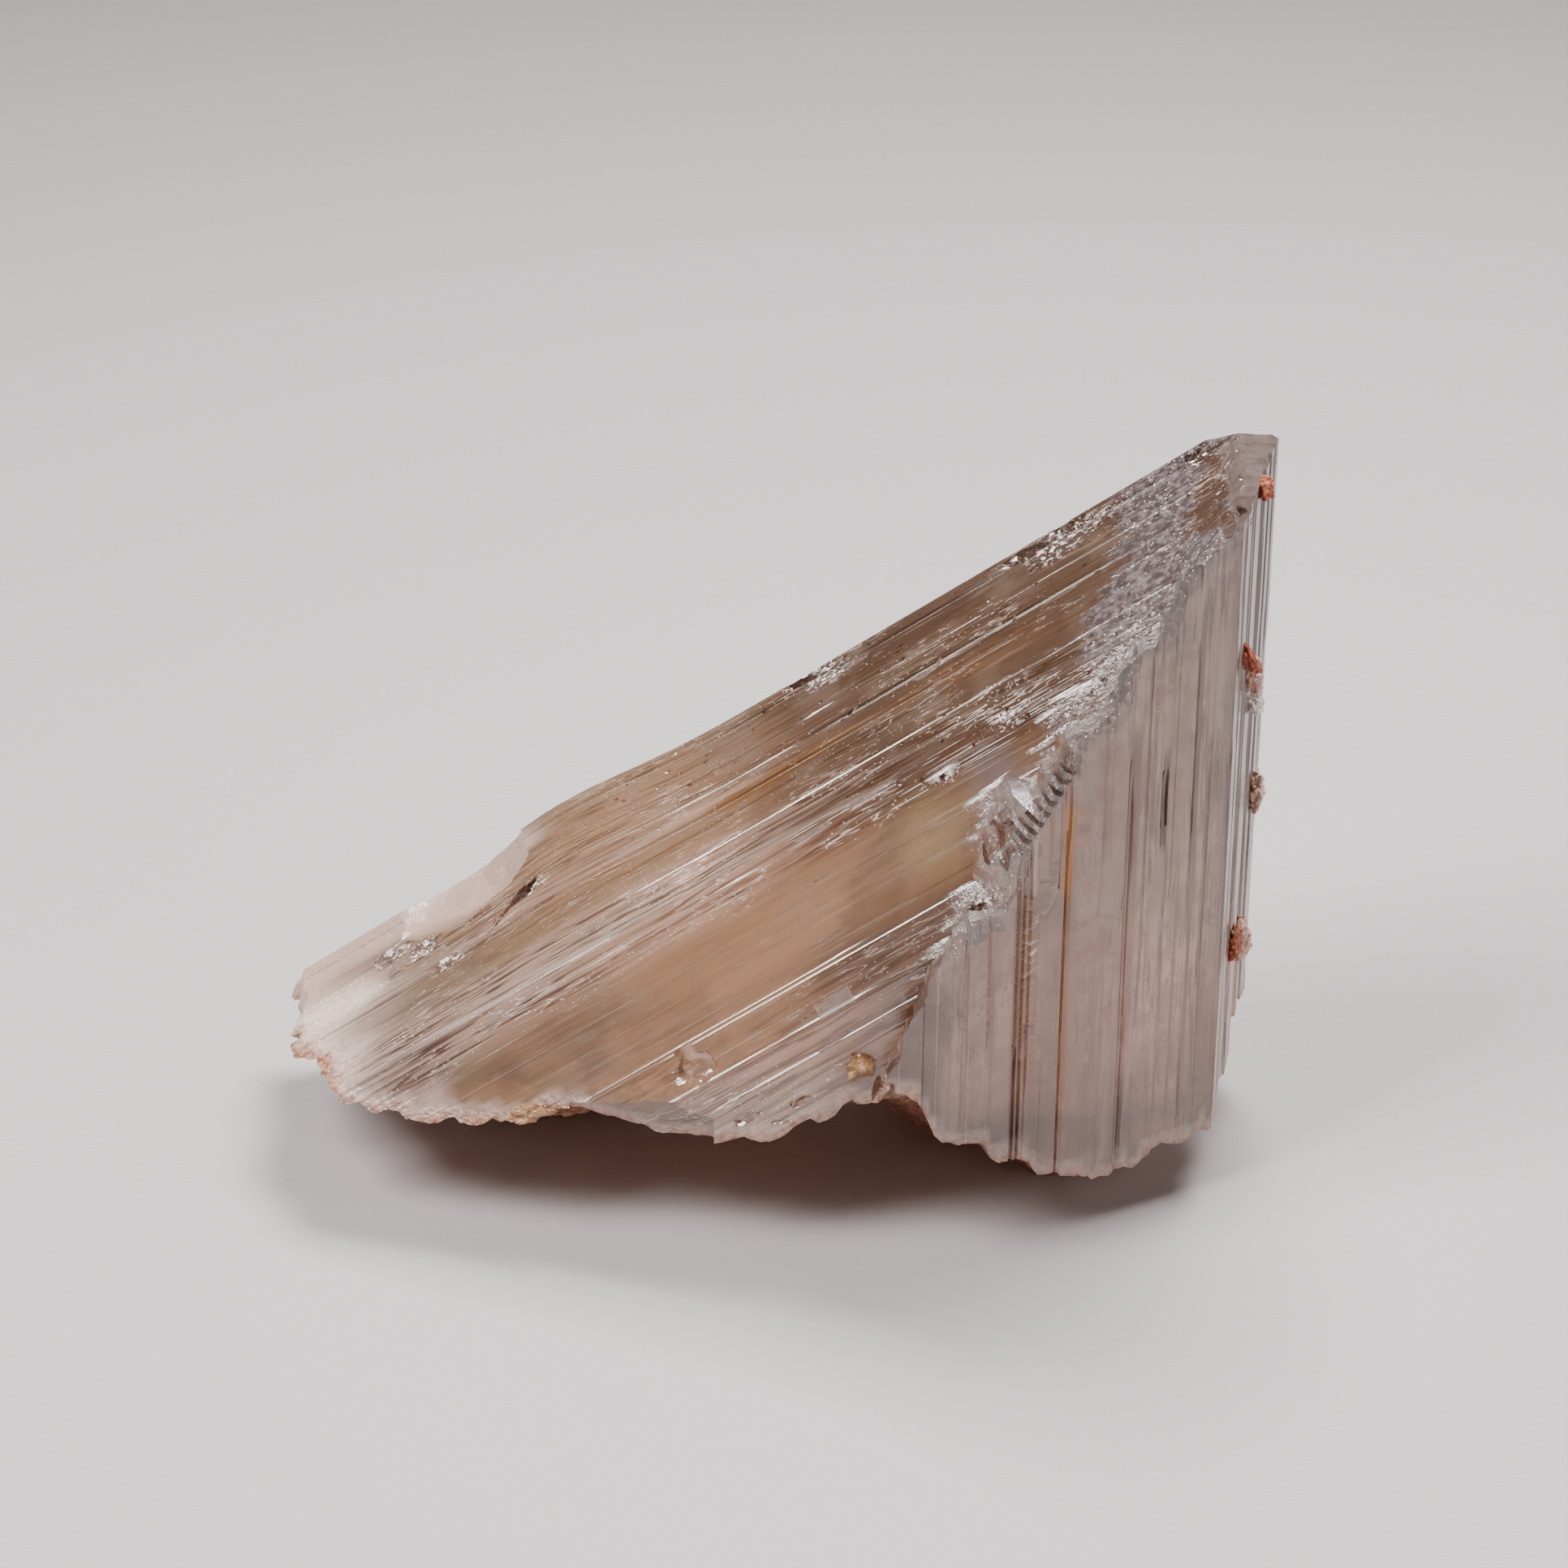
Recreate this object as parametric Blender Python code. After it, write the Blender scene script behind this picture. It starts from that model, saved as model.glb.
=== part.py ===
"""A V-shaped cerussite twin: two striated crystals grown together along a jagged seam, with its crusts."""

import math
import random

import bmesh
import bpy
from mathutils import Euler, Matrix, Vector, noise

mm = 0.001

# Driving dimensions, in millimetres and degrees. The left arm lies back, the right arm stands.
twin_angle = 57.3
right_lean = 0.6
left_yaw = 1.5
seam_tilt = 61.4
seam_yaw = 0.03
strip_width = 1.15
ledge_height = 0.16
station_step = 3.4
break_cell = 1.25

# The place of the specimen's own origin, at the middle of its foot, in the frame that the sizes below use.
foot_middle = Vector((-0.82, 1.2))

# Cross-sections across each arm as (outward, back) corners. The first facets face the front.
left_section = ((3.6, -8.9), (9.76, -9.0), (17.28, -4.44), (18.4, 0.4), (19.16, 8.4),
                (17.6, 11.0), (10.4, 12.0), (3.6, 10.2), (-0.8, 3.4), (0.0, -6.6))
right_section = ((2.7, -10.1), (8.57, -10.16), (21.3, -3.0), (23.95, 8.08), (22.5, 10.6),
                 (15.9, 12.1), (8.3, 11.4), (3.1, 7.4), (1.1, 1.4), (1.1, -5.0))
left_reach = (-29.0, 39.0)
right_reach = (-1.5, 40.5)

# The seam as (distance up it, offset towards the right arm at the front, the same further back), from
# where its front edge meets the base. Its wall shows where the two offsets differ.
seam_foot = Vector((4.92, -10.12, 9.72))
seam_path = ((-14.0, 0.6, 0.6), (-1.6, 0.56, 0.56), (0.0, 0.0, 0.0), (3.2, -0.5, -0.5),
             (7.5, -0.94, -0.94), (9.7, -0.75, -1.1), (10.6, 0.5, -1.3), (11.7, 0.6, -1.6),
             (13.3, 0.0, -1.9), (14.0, -0.42, -1.9), (15.4, -0.35, -1.9), (15.8, -0.2, -1.2),
             (16.5, -0.1, -0.9), (18.0, 0.1, -0.5), (18.9, -0.3, -0.4), (19.5, 0.17, -0.1),
             (21.5, 0.97, 0.6), (22.9, 0.1, 0.1), (24.1, 0.2, 0.25), (24.7, 1.1, 1.1),
             (26.0, 1.3, 0.9), (27.4, 0.6, 0.7), (28.6, 0.8, 1.1), (30.0, 1.1, 1.5),
             (31.1, 1.6, 1.8), (33.0, 2.9, 2.9), (37.0, 3.8, 3.8), (46.0, 4.4, 4.4))
seam_front_depth = 1.6

# Heights of the rough underside over the table, as (x, y, height) at places across it.
underside = ((4.9, -10.0, 9.7), (8.8, -10.2, 7.0), (11.0, -8.9, 4.9), (13.2, -7.6, 3.5),
             (16.0, -5.8, 2.7), (20.2, -3.8, 3.6), (22.0, 1.0, 4.9), (23.2, 5.0, 6.4),
             (14.6, 0.6, -0.9), (17.2, 5.2, -0.6), (9.6, 4.4, -0.7), (3.8, -8.6, 8.4),
             (1.3, -8.8, 7.1), (-1.3, -8.9, 6.0), (-2.7, -8.9, 5.9), (-3.9, -9.0, 6.2),
             (-5.5, -9.0, 6.0), (-8.2, -8.7, 7.0), (-10.8, -7.8, 7.4), (-13.4, -7.4, 6.6),
             (-16.3, -6.9, 6.0), (-18.2, -6.4, 5.7), (-19.2, -5.8, 6.3), (-21.7, -5.2, 6.2),
             (-23.0, -3.4, 6.3), (-24.3, -1.1, 6.2), (-25.2, 1.0, 6.0), (-25.4, 5.0, 5.0),
             (-14.4, 6.8, -0.9), (-11.6, 7.6, -0.5), (-2.0, 1.0, 3.9), (2.0, 8.5, 2.2),
             (-4.0, 10.0, 3.4), (18.0, 11.5, 1.6), (-13.0, 0.0, 3.4), (-19.5, 7.5, 2.4))

left_break_point = Vector((-23.1, -3.4, 6.3))
left_break_facing = Vector((-0.84, -0.52, 0.16))
tip_break_point = Vector((-25.1, 3.0, 6.1))
tip_break_facing = Vector((-0.97, -0.04, 0.3))
top_break_point = Vector((22.8, 8.0, 36.5))
top_break_facing = Vector((0.06, -0.04, 1.0))
back_top_point = Vector((22.0, 8.3, 36.5))
back_top_facing = Vector((-0.05, 0.62, 1.0))

# The left arm's back edge thickens near its broken end: (place along it, half length, height).
left_swell = (-1.0, 5.5, 0.75)
no_swell = (0.0, 1.0, 0.0)

# Shell-shaped chips out of the left arm, as (along, outward, back, half sizes).
left_chips = ((26.4, 19.5, 7.7, (1.1, 0.6, 0.9)), (28.7, 19.4, 8.2, (0.9, 0.6, 0.8)),
              (13.2, 19.3, 8.2, (1.3, 0.6, 0.8)), (36.3, 19.3, 7.6, (0.9, 0.7, 0.9)),
              (1.0, 20.0, 7.0, (0.5, 0.9, 1.6)))
# Breaks across the specimen, as (centre, half sizes, turn about Y, turn about Z).
open_breaks = (((-12.9, 3.6, 14.2), (3.6, 0.7, 0.7), -20.0, 58.0),
               ((-19.4, 2.0, 10.8), (2.4, 0.8, 0.9), -18.0, 30.0),
               ((-4.4, -9.7, 10.0), (1.8, 1.0, 1.5), -30.0, 0.0),
               ((4.5, -10.2, 8.6), (0.7, 1.6, 1.6), 12.0, 0.0),
               ((13.6, -8.6, 25.6), (1.5, 0.5, 0.6), 36.0, 20.0),
               ((11.9, -9.4, 24.2), (1.1, 0.5, 0.5), 48.0, 20.0),
               ((10.0, -9.9, 21.4), (0.9, 0.6, 1.3), 10.0, 0.0))

# Crusts and grains on the faces: (centre, half sizes, turn about Y).
red_tip_size = ((23.2, 2.2, 36.0), (0.4, 0.7, 0.7), 0.0)
red_upper_size = ((22.5, -0.6, 28.2), (0.35, 0.6, 1.2), -22.0)
pink_upper_size = ((23.0, 1.7, 26.3), (0.5, 0.7, 1.1), 0.0)
white_upper_size = ((23.3, 3.0, 24.2), (0.4, 0.55, 0.6), 0.0)
pink_side_size = ((23.9, 6.2, 18.0), (0.42, 0.75, 1.2), 4.0)
red_lower_size = ((22.6, 1.3, 11.9), (0.35, 0.5, 1.1), 6.0)
pink_lower_size = ((23.25, 4.0, 10.6), (0.55, 0.8, 1.3), 0.0)
brown_left_size = ((-12.5, -7.4, 6.9), (1.3, 0.6, 0.6), -15.0)
brown_notch_size = ((3.6, -8.8, 10.2), (0.85, 0.5, 0.75), -30.0)

for old in list(bpy.data.objects):
    bpy.data.objects.remove(old)

specimen = bpy.data.collections.new("cerussite_specimen")
cutters = bpy.data.collections.new("cutters")
bpy.context.scene.collection.children.link(specimen)
bpy.context.scene.collection.children.link(cutters)


def material(name, colour, roughness, transmission=0.0):
    made = bpy.data.materials.new(name)
    made.use_nodes = True
    shader = made.node_tree.nodes["Principled BSDF"]
    shader.inputs["Base Color"].default_value = (*colour, 1.0)
    shader.inputs["Roughness"].default_value = roughness
    shader.inputs["Metallic"].default_value = 0.0
    shader.inputs["Transmission Weight"].default_value = transmission
    made.diffuse_color = (*colour, 1.0)
    return made


def add_object(name, builder, collection, look=None):
    """Makes an object from a bmesh whose lengths are millimetres."""
    bmesh.ops.recalc_face_normals(builder, faces=builder.faces)
    bmesh.ops.scale(builder, vec=(mm, mm, mm), verts=builder.verts)
    mesh = bpy.data.meshes.new(name)
    builder.to_mesh(mesh)
    builder.free()
    made = bpy.data.objects.new(name, mesh)
    collection.objects.link(made)
    if look is not None:
        mesh.materials.append(look)
    else:
        made.hide_render = True
        made.display_type = "WIRE"
    return made


def boolean(target, other, operation):
    step = target.modifiers.new(other.name, "BOOLEAN")
    step.operation = operation
    step.object = other
    step.solver = "EXACT"


def loft(name, rings, collection, look=None):
    """Joins closed rings of equal length into one capped skin."""
    builder = bmesh.new()
    made = [[builder.verts.new(point) for point in ring] for ring in rings]
    count = len(rings[0])
    for low, high in zip(made, made[1:]):
        for i in range(count):
            j = (i + 1) % count
            builder.faces.new((low[i], low[j], high[j], high[i]))
    builder.faces.new(made[0])
    builder.faces.new(made[-1])
    bmesh.ops.triangulate(builder, faces=builder.faces)
    return add_object(name, builder, collection, look)


def strips_of(section, fine_facets, width, seed):
    """Splits the section into growth strips of uneven width: (start, end, outward normal)."""
    rng = random.Random(seed)
    strips = []
    for index, corner in enumerate(section):
        start = Vector(corner)
        side = Vector(section[(index + 1) % len(section)]) - start
        normal = Vector((side.y, -side.x)).normalized()
        share = width if index < fine_facets else width * 3.2
        count = max(2, round(side.length / share))
        cuts = [0.0] + [(i + rng.uniform(-0.28, 0.28)) / count for i in range(1, count)] + [1.0]
        for low, high in zip(cuts, cuts[1:]):
            strips.append((start + side * low, start + side * high, normal))
    return strips


def crystal(name, section, fine_facets, reach, frame, seed, swell, collection, look=None):
    """A prism along the frame's Z whose strips step in and out, and end, along its length."""
    strips = strips_of(section, fine_facets, strip_width, seed)
    rng = random.Random(seed + 1)
    heights = []
    for strip in strips:
        level = rng.uniform(-1.0, 1.0)
        turns = sorted(rng.uniform(*reach) for _ in range(2))
        heights.append((level, rng.uniform(-0.7, 0.7), rng.uniform(-0.7, 0.7), turns))
    count = max(2, round((reach[1] - reach[0]) / station_step))
    swell_place, swell_half, swell_height = swell
    rings = []
    for row in range(count + 1):
        along = reach[0] + (reach[1] - reach[0]) * row / count
        swollen = swell_height * math.exp(-(((along - swell_place) / swell_half) ** 2))
        ring = []
        for (start, end, normal), (level, first, second, turns) in zip(strips, heights):
            height = level + (first if along > turns[0] else 0.0) + (second if along > turns[1] else 0.0)
            shift = normal * height * ledge_height
            inset = (end - start).normalized() * 0.06
            for point in (start + inset + shift, end - inset + shift):
                back_share = min(1.0, max(0.0, (point.y + 4.4) / 9.0))
                outward = swollen * back_share * max(0.0, point.x - section[0][0]) / 16.0
                ring.append(frame @ Vector((point.x + outward, point.y, along)))
        rings.append(ring)
    return loft(name, rings, collection, look)


def frame_of(along, outward):
    """Axes whose X is outward, Y points back and Z runs along. The two arms mirror each other."""
    back = along.cross(outward)
    if back.y < 0.0:
        back = -back
    return Matrix((outward, back, along)).transposed().to_4x4()


def seam_rings(side, overlap):
    """The region on one side of the seam, as rings from front to back. side is 1 for the right arm's."""
    tilt = math.radians(seam_tilt)
    up = Vector((math.cos(tilt), 0.0, math.sin(tilt)))
    across = Vector((math.sin(tilt), 0.0, -math.cos(tilt)))
    back = Vector((0.0, 1.0, 0.0)) + across * seam_yaw
    depths = (-8.0, 0.0, seam_front_depth, 3.2, 5.0, 8.5, 13.0, 18.0, 30.0)
    rng = random.Random(41)
    rings = []
    for depth in depths:
        ring = []
        for distance, front, behind in seam_path:
            jog = rng.uniform(-0.35, 0.35) if seam_front_depth < depth < 30.0 else 0.0
            offset = front if depth <= seam_front_depth else behind
            place = offset + jog + side * overlap
            ring.append(seam_foot + up * distance + across * place + back * depth)
        far = across * side * 60.0
        ring.append(ring[len(seam_path) - 1] + far)
        ring.append(ring[0] + far)
        rings.append(ring)
    return rings


def rough_height(x, y):
    """Height of the rough underside at a place, from the places around it."""
    total = 0.0
    weight = 0.0
    for px, py, height in underside:
        share = 1.0 / ((x - px) ** 2 + (y - py) ** 2 + 0.3) ** 1.6
        total += share * height
        weight += share
    lump = noise.noise(Vector((x * 0.33, y * 0.33, 2.0))) * 0.8
    grain = noise.noise(Vector((x * 0.95, y * 0.95, 9.0))) * 0.45
    return total / weight + lump + grain


def underside_cutter():
    builder = bmesh.new()
    half_width, half_depth = 34.0, 16.0
    columns = round(2 * half_width / break_cell)
    rows = round(2 * half_depth / break_cell)
    bmesh.ops.create_grid(builder, x_segments=columns, y_segments=rows, size=1.0)
    for vert in builder.verts:
        x = vert.co.x * half_width
        y = vert.co.y * half_depth + foot_middle[1]
        vert.co = Vector((x, y, max(0.0, rough_height(x, y))))
    skirt_down(builder, -24.0)
    return add_object("cut_underside", builder, cutters)


def skirt_down(builder, depth):
    """Closes a sheet into a block by carrying its rim down to a flat floor."""
    rim = [edge for edge in builder.edges if edge.is_boundary]
    made = bmesh.ops.extrude_edge_only(builder, edges=rim)
    lowered = [item for item in made["geom"] if isinstance(item, bmesh.types.BMVert)]
    for vert in lowered:
        vert.co.z = depth
    bottom = [edge for edge in builder.edges if edge.is_boundary]
    bmesh.ops.contextual_create(builder, geom=bottom)
    bmesh.ops.triangulate(builder, faces=builder.faces)


def rough_block(name, point, facing, size, cell, depth, rough, seed):
    """A block of waste whose inner face is a rough break through the point, facing outwards."""
    builder = bmesh.new()
    count = round(2 * size / cell)
    bmesh.ops.create_grid(builder, x_segments=count, y_segments=count, size=size)
    for vert in builder.verts:
        place = Vector((vert.co.x * 0.22, vert.co.y * 0.22, seed))
        lump = noise.noise(place) * rough
        grain = noise.noise(place * 3.7) * rough * 0.45
        vert.co.z = -(lump + grain)
    skirt_down(builder, -depth)
    turn = (-facing.normalized()).to_track_quat("Z", "Y").to_matrix().to_4x4()
    bmesh.ops.transform(builder, matrix=Matrix.Translation(point) @ turn, verts=builder.verts)
    return add_object(name, builder, cutters)


def lump(name, place, size, seed, collection, look=None, detail=2, rough=0.25, turn=(0.0, 0.0, 0.0)):
    """A rounded grain with an uneven, faceted skin."""
    builder = bmesh.new()
    bmesh.ops.create_icosphere(builder, subdivisions=detail, radius=1.0)
    for vert in builder.verts:
        vert.co *= 1.0 + noise.noise(vert.co * 1.9 + Vector((seed, 0.0, 0.0))) * rough * 2.0
    spin = Euler(turn).to_matrix().to_4x4()
    whole = Matrix.Translation(Vector(place)) @ spin @ Matrix.Diagonal((*size, 1.0))
    bmesh.ops.transform(builder, matrix=whole, verts=builder.verts)
    return add_object(name, builder, collection, look)


cerussite = material("cerussite", (0.47, 0.36, 0.28), 0.12, 0.7)
red_crust = material("red_crust", (0.42, 0.07, 0.04), 0.7)
pink_crust = material("pink_crust", (0.72, 0.45, 0.38), 0.75)
white_crust = material("white_crust", (0.8, 0.74, 0.7), 0.6)
brown_grain = material("brown_grain", (0.36, 0.19, 0.08), 0.7)

lean = math.radians(right_lean)
right_along = Vector((math.sin(lean), 0.0, math.cos(lean)))
right_out = Vector((math.cos(lean), 0.0, -math.sin(lean)))
rise = math.radians(90.0 - right_lean - twin_angle)
yaw = math.radians(left_yaw)
left_along = Vector((math.cos(rise) * math.cos(yaw), math.sin(yaw), math.sin(rise) * math.cos(yaw)))
left_out = Vector((-math.sin(rise), 0.0, math.cos(rise)))
left_frame = frame_of(left_along, left_out)
right_frame = frame_of(right_along, right_out)

twin = crystal("cerussite_twin", left_section, 4, left_reach, left_frame, 11, left_swell, specimen, cerussite)
right_arm = crystal("right_arm", right_section, 3, right_reach, right_frame, 23, no_swell, cutters)
seam_right = loft("seam_right", seam_rings(1, 0.0), cutters)
seam_left = loft("seam_left", seam_rings(-1, 0.2), cutters)
boolean(twin, seam_right, "DIFFERENCE")
boolean(right_arm, seam_left, "DIFFERENCE")
boolean(twin, right_arm, "UNION")
boolean(twin, underside_cutter(), "DIFFERENCE")
left_break = rough_block("cut_left_end", left_break_point, left_break_facing, 14.0, 1.5, 12.0, 0.6, 3.0)
boolean(twin, left_break, "DIFFERENCE")
tip_break = rough_block("cut_tip", tip_break_point, tip_break_facing, 14.0, 1.6, 10.0, 0.6, 7.0)
boolean(twin, tip_break, "DIFFERENCE")
top_break = rough_block("cut_top", top_break_point, top_break_facing, 14.0, 2.0, 12.0, 0.2, 5.0)
boolean(twin, top_break, "DIFFERENCE")
back_top = rough_block("cut_back_top", back_top_point, back_top_facing, 7.0, 1.6, 9.0, 0.15, 12.0)
boolean(twin, back_top, "DIFFERENCE")

for number, (along, outward, back, size) in enumerate(left_chips):
    place = left_frame @ Vector((outward, back, along))
    chip = lump(f"chip_{number}", place, size, 20.0 + number, cutters, detail=2, turn=(0.0, -rise, 0.0))
    boolean(twin, chip, "DIFFERENCE")
for number, (place, size, dip, spin) in enumerate(open_breaks):
    turn = (0.0, math.radians(dip), math.radians(spin))
    boolean(twin, lump(f"break_{number}", place, size, 30.0 + number, cutters, turn=turn), "DIFFERENCE")


def crust(name, sizes, look, seed, detail=2):
    """A grain whose back follows the crystal face it sits on."""
    place, size, dip = sizes
    turn = (0.0, math.radians(dip), 0.0)
    grain = lump(name, place, size, seed, specimen, look, detail, 0.3, turn)
    boolean(grain, twin, "DIFFERENCE")
    return grain


crust("red_crust_tip", red_tip_size, red_crust, 51.0)
crust("red_crust_upper", red_upper_size, red_crust, 52.0)
crust("pink_crust_upper", pink_upper_size, pink_crust, 53.0)
crust("white_crust_upper", white_upper_size, white_crust, 59.0)
crust("pink_crust_side", pink_side_size, pink_crust, 54.0)
crust("red_crust_lower", red_lower_size, red_crust, 55.0)
crust("pink_crust_lower", pink_lower_size, pink_crust, 56.0)
crust("brown_grain_left", brown_left_size, brown_grain, 57.0)
crust("brown_grain_notch", brown_notch_size, brown_grain, 58.0)

origin = bpy.data.objects.new("origin", None)
bpy.context.scene.collection.objects.link(origin)
for made in (*specimen.objects, *cutters.objects):
    made.parent = origin
origin.location = (-foot_middle[0] * mm, -foot_middle[1] * mm, 0.0)
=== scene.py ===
import math
import random

import bmesh
import bpy
import numpy as np
from mathutils import Euler, Matrix, Vector, noise


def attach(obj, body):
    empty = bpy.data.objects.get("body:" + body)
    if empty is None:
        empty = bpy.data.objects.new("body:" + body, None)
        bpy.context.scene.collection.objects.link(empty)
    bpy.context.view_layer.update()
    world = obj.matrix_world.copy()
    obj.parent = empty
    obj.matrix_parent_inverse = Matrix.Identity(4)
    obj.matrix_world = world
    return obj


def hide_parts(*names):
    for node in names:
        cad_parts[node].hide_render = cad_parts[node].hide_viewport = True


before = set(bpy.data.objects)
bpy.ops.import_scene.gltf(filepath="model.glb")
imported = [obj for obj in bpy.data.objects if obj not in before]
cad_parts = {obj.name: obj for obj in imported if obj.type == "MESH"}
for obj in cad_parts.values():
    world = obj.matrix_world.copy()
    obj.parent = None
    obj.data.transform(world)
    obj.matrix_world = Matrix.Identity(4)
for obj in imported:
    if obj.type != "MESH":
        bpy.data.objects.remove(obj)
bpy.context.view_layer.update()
mm = 0.001
scene = bpy.context.scene

# Places below are millimetres in the frame of the twin's own sections; its foot has its middle here.
footMiddle = Vector((-0.82, 1.2))

shot = {
    "place": (0.74, -200.4, 114.16),  # millimetres, from the middle of the foot
    "dip": 65.0,
    "lens": 102.48,
}

camera = bpy.data.objects.new("camera", bpy.data.cameras.new("camera"))
camera.data.lens = shot["lens"]
camera.data.sensor_width = 36.0
camera.data.clip_start = 0.01
camera.location = Vector(shot["place"]) * mm
camera.rotation_euler = (math.radians(shot["dip"]), 0.0, 0.0)
scene.collection.objects.link(camera)
scene.camera = camera
print("camera set")


# One wrapper for the sockets of shader and geometry trees. Arithmetic on it adds the nodes.
class Wire:
    def __init__(self, tree, socket):
        self.tree = tree
        self.socket = socket

    def math(self, operation, *others, **settings):
        inputs = {0: self}
        for number, other in enumerate(others):
            inputs[number + 1] = other
        return self.tree.add("ShaderNodeMath", {"operation": operation, **settings}, inputs)

    def __add__(self, other):
        return self.math("ADD", other)

    __radd__ = __add__

    def __sub__(self, other):
        return self.math("SUBTRACT", other)

    def __rsub__(self, other):
        return Wire.math(self.tree.number(other), "SUBTRACT", self)

    def __mul__(self, other):
        return self.math("MULTIPLY", other)

    __rmul__ = __mul__

    def __truediv__(self, other):
        return self.math("DIVIDE", other)

    def __pow__(self, other):
        return self.math("POWER", other)

    def clamped(self):
        return self.math("ADD", 0.0, use_clamp=True)

    def floor(self):
        return self.math("FLOOR")

    def step(self, low, high):  # 0 below low, 1 above high
        inputs = {"Value": self, "From Min": low, "From Max": high}
        return self.tree.add("ShaderNodeMapRange", {"interpolation_type": "SMOOTHSTEP"}, inputs)

    def between(self, low, high, soft):  # 1 inside the span, 0 outside it
        return self.step(low - soft, low + soft) * (1.0 - self.step(high - soft, high + soft))

    def size(self):
        return self.math("ABSOLUTE")

    def arrow(self, operation, other, slot=1, out=0):
        return self.tree.add("ShaderNodeVectorMath", {"operation": operation}, {0: self, slot: other}, out)

    def near(self, point, radius, soft):  # 1 within the radius, 0 beyond it
        return 1.0 - self.arrow("DISTANCE", point, out="Value").step(radius - soft, radius + soft)

    def dot(self, vector):
        return self.arrow("DOT_PRODUCT", vector, out="Value")

    def scaled(self, factor):
        return self.arrow("SCALE", factor, "Scale")

    def plus(self, vector):
        return self.arrow("ADD", vector)


class Tree:
    def __init__(self, nodes):
        self.nodes = nodes.nodes
        self.links = nodes.links

    def number(self, value):
        made = self.nodes.new("ShaderNodeValue")
        made.outputs[0].default_value = value
        return Wire(self, made.outputs[0])

    def add(self, kind, settings=None, inputs=None, out=0):
        made = self.nodes.new(kind)
        for name, value in (settings or {}).items():
            if name == "stops":
                self.setStops(made.color_ramp, value)
            else:
                setattr(made, name, value)
        for name, value in (inputs or {}).items():
            self.feed(made.inputs[name], value)
        return Wire(self, made.outputs[out])

    def feed(self, socket, value):
        if isinstance(value, Wire):
            self.links.new(value.socket, socket)
        elif isinstance(value, tuple) and len(value) == 3 and socket.type == "RGBA":
            socket.default_value = (*value, 1.0)
        else:
            socket.default_value = value

    def setStops(self, ramp, stops):
        while len(ramp.elements) < len(stops):
            ramp.elements.new(0.5)
        for element, (place, colour) in zip(ramp.elements, stops):
            element.position = place
            element.color = (*colour, 1.0)

    def mix(self, factor, first, second):  # colours
        made = self.nodes.new("ShaderNodeMix")
        made.data_type = "RGBA"
        for socket, value in zip((made.inputs[0], made.inputs[6], made.inputs[7]), (factor, first, second)):
            self.feed(socket, value)
        return Wire(self, made.outputs[2])

    def vector(self, x, y, z):
        return self.add("ShaderNodeCombineXYZ", None, {0: x, 1: y, 2: z})

    def noise(self, place, scale, detail=2.0, roughness=0.5):
        inputs = {"Vector": place, "Scale": scale, "Detail": detail, "Roughness": roughness}
        return self.add("ShaderNodeTexNoise", None, inputs)

    def grain(self, name):  # a number that the mesh carries
        return self.add("ShaderNodeAttribute", {"attribute_name": name}, None, "Fac")


class Finish(Tree):
    def __init__(self, name):
        self.material = bpy.data.materials.new(name)
        self.material.use_nodes = True
        super().__init__(self.material.node_tree)
        for node in list(self.nodes):
            if node.bl_idname != "ShaderNodeOutputMaterial":
                self.nodes.remove(node)
        self.output = self.nodes[0]
        self.place = self.add("ShaderNodeTexCoord", None, None, "Object").scaled(1.0 / mm)

    def end(self, surface, volume=None):
        self.links.new(surface.socket, self.output.inputs["Surface"])
        if volume is not None:
            self.links.new(volume.socket, self.output.inputs["Volume"])
        return self.material


# The two arms: the left one lies, the right one stands. Angles are degrees and lengths millimetres.
twin = {
    "angle": 57.3,  # between the arms
    "rightLean": 0.6,
    "leftYaw": 1.5,
    "stripWidth": 1.15,  # of the growth strips that a face is made of
    "hiddenStrips": 3.2,  # how much wider they are on the faces that show least
    "stripJitter": 0.28,
    "ledgeHeight": 0.07,
    "ledgeTurn": 0.7,  # share of that height by which a strip steps along its length
    "stripInset": 0.03,
    "hiddenStep": 0.6,
    "rowStep": 1.0,
    "plateEdge": 0.08,
    "plateEnd": 0.8,
    "sharpAngle": 15.0,
}
lean = math.radians(twin["rightLean"])
rise = math.radians(90.0 - twin["rightLean"] - twin["angle"])
yaw = math.radians(twin["leftYaw"])


def frameOf(along, outward):
    back = along.cross(outward)
    if back.y < 0.0:
        back = -back
    return Matrix((outward, back, along)).transposed().to_4x4()


leftFrame = frameOf(
    Vector((math.cos(rise) * math.cos(yaw), math.sin(yaw), math.sin(rise) * math.cos(yaw))),
    Vector((-math.sin(rise), 0.0, math.cos(rise))))
rightFrame = frameOf(
    Vector((math.sin(lean), 0.0, math.cos(lean))), Vector((math.cos(lean), 0.0, -math.sin(lean))))

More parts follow.
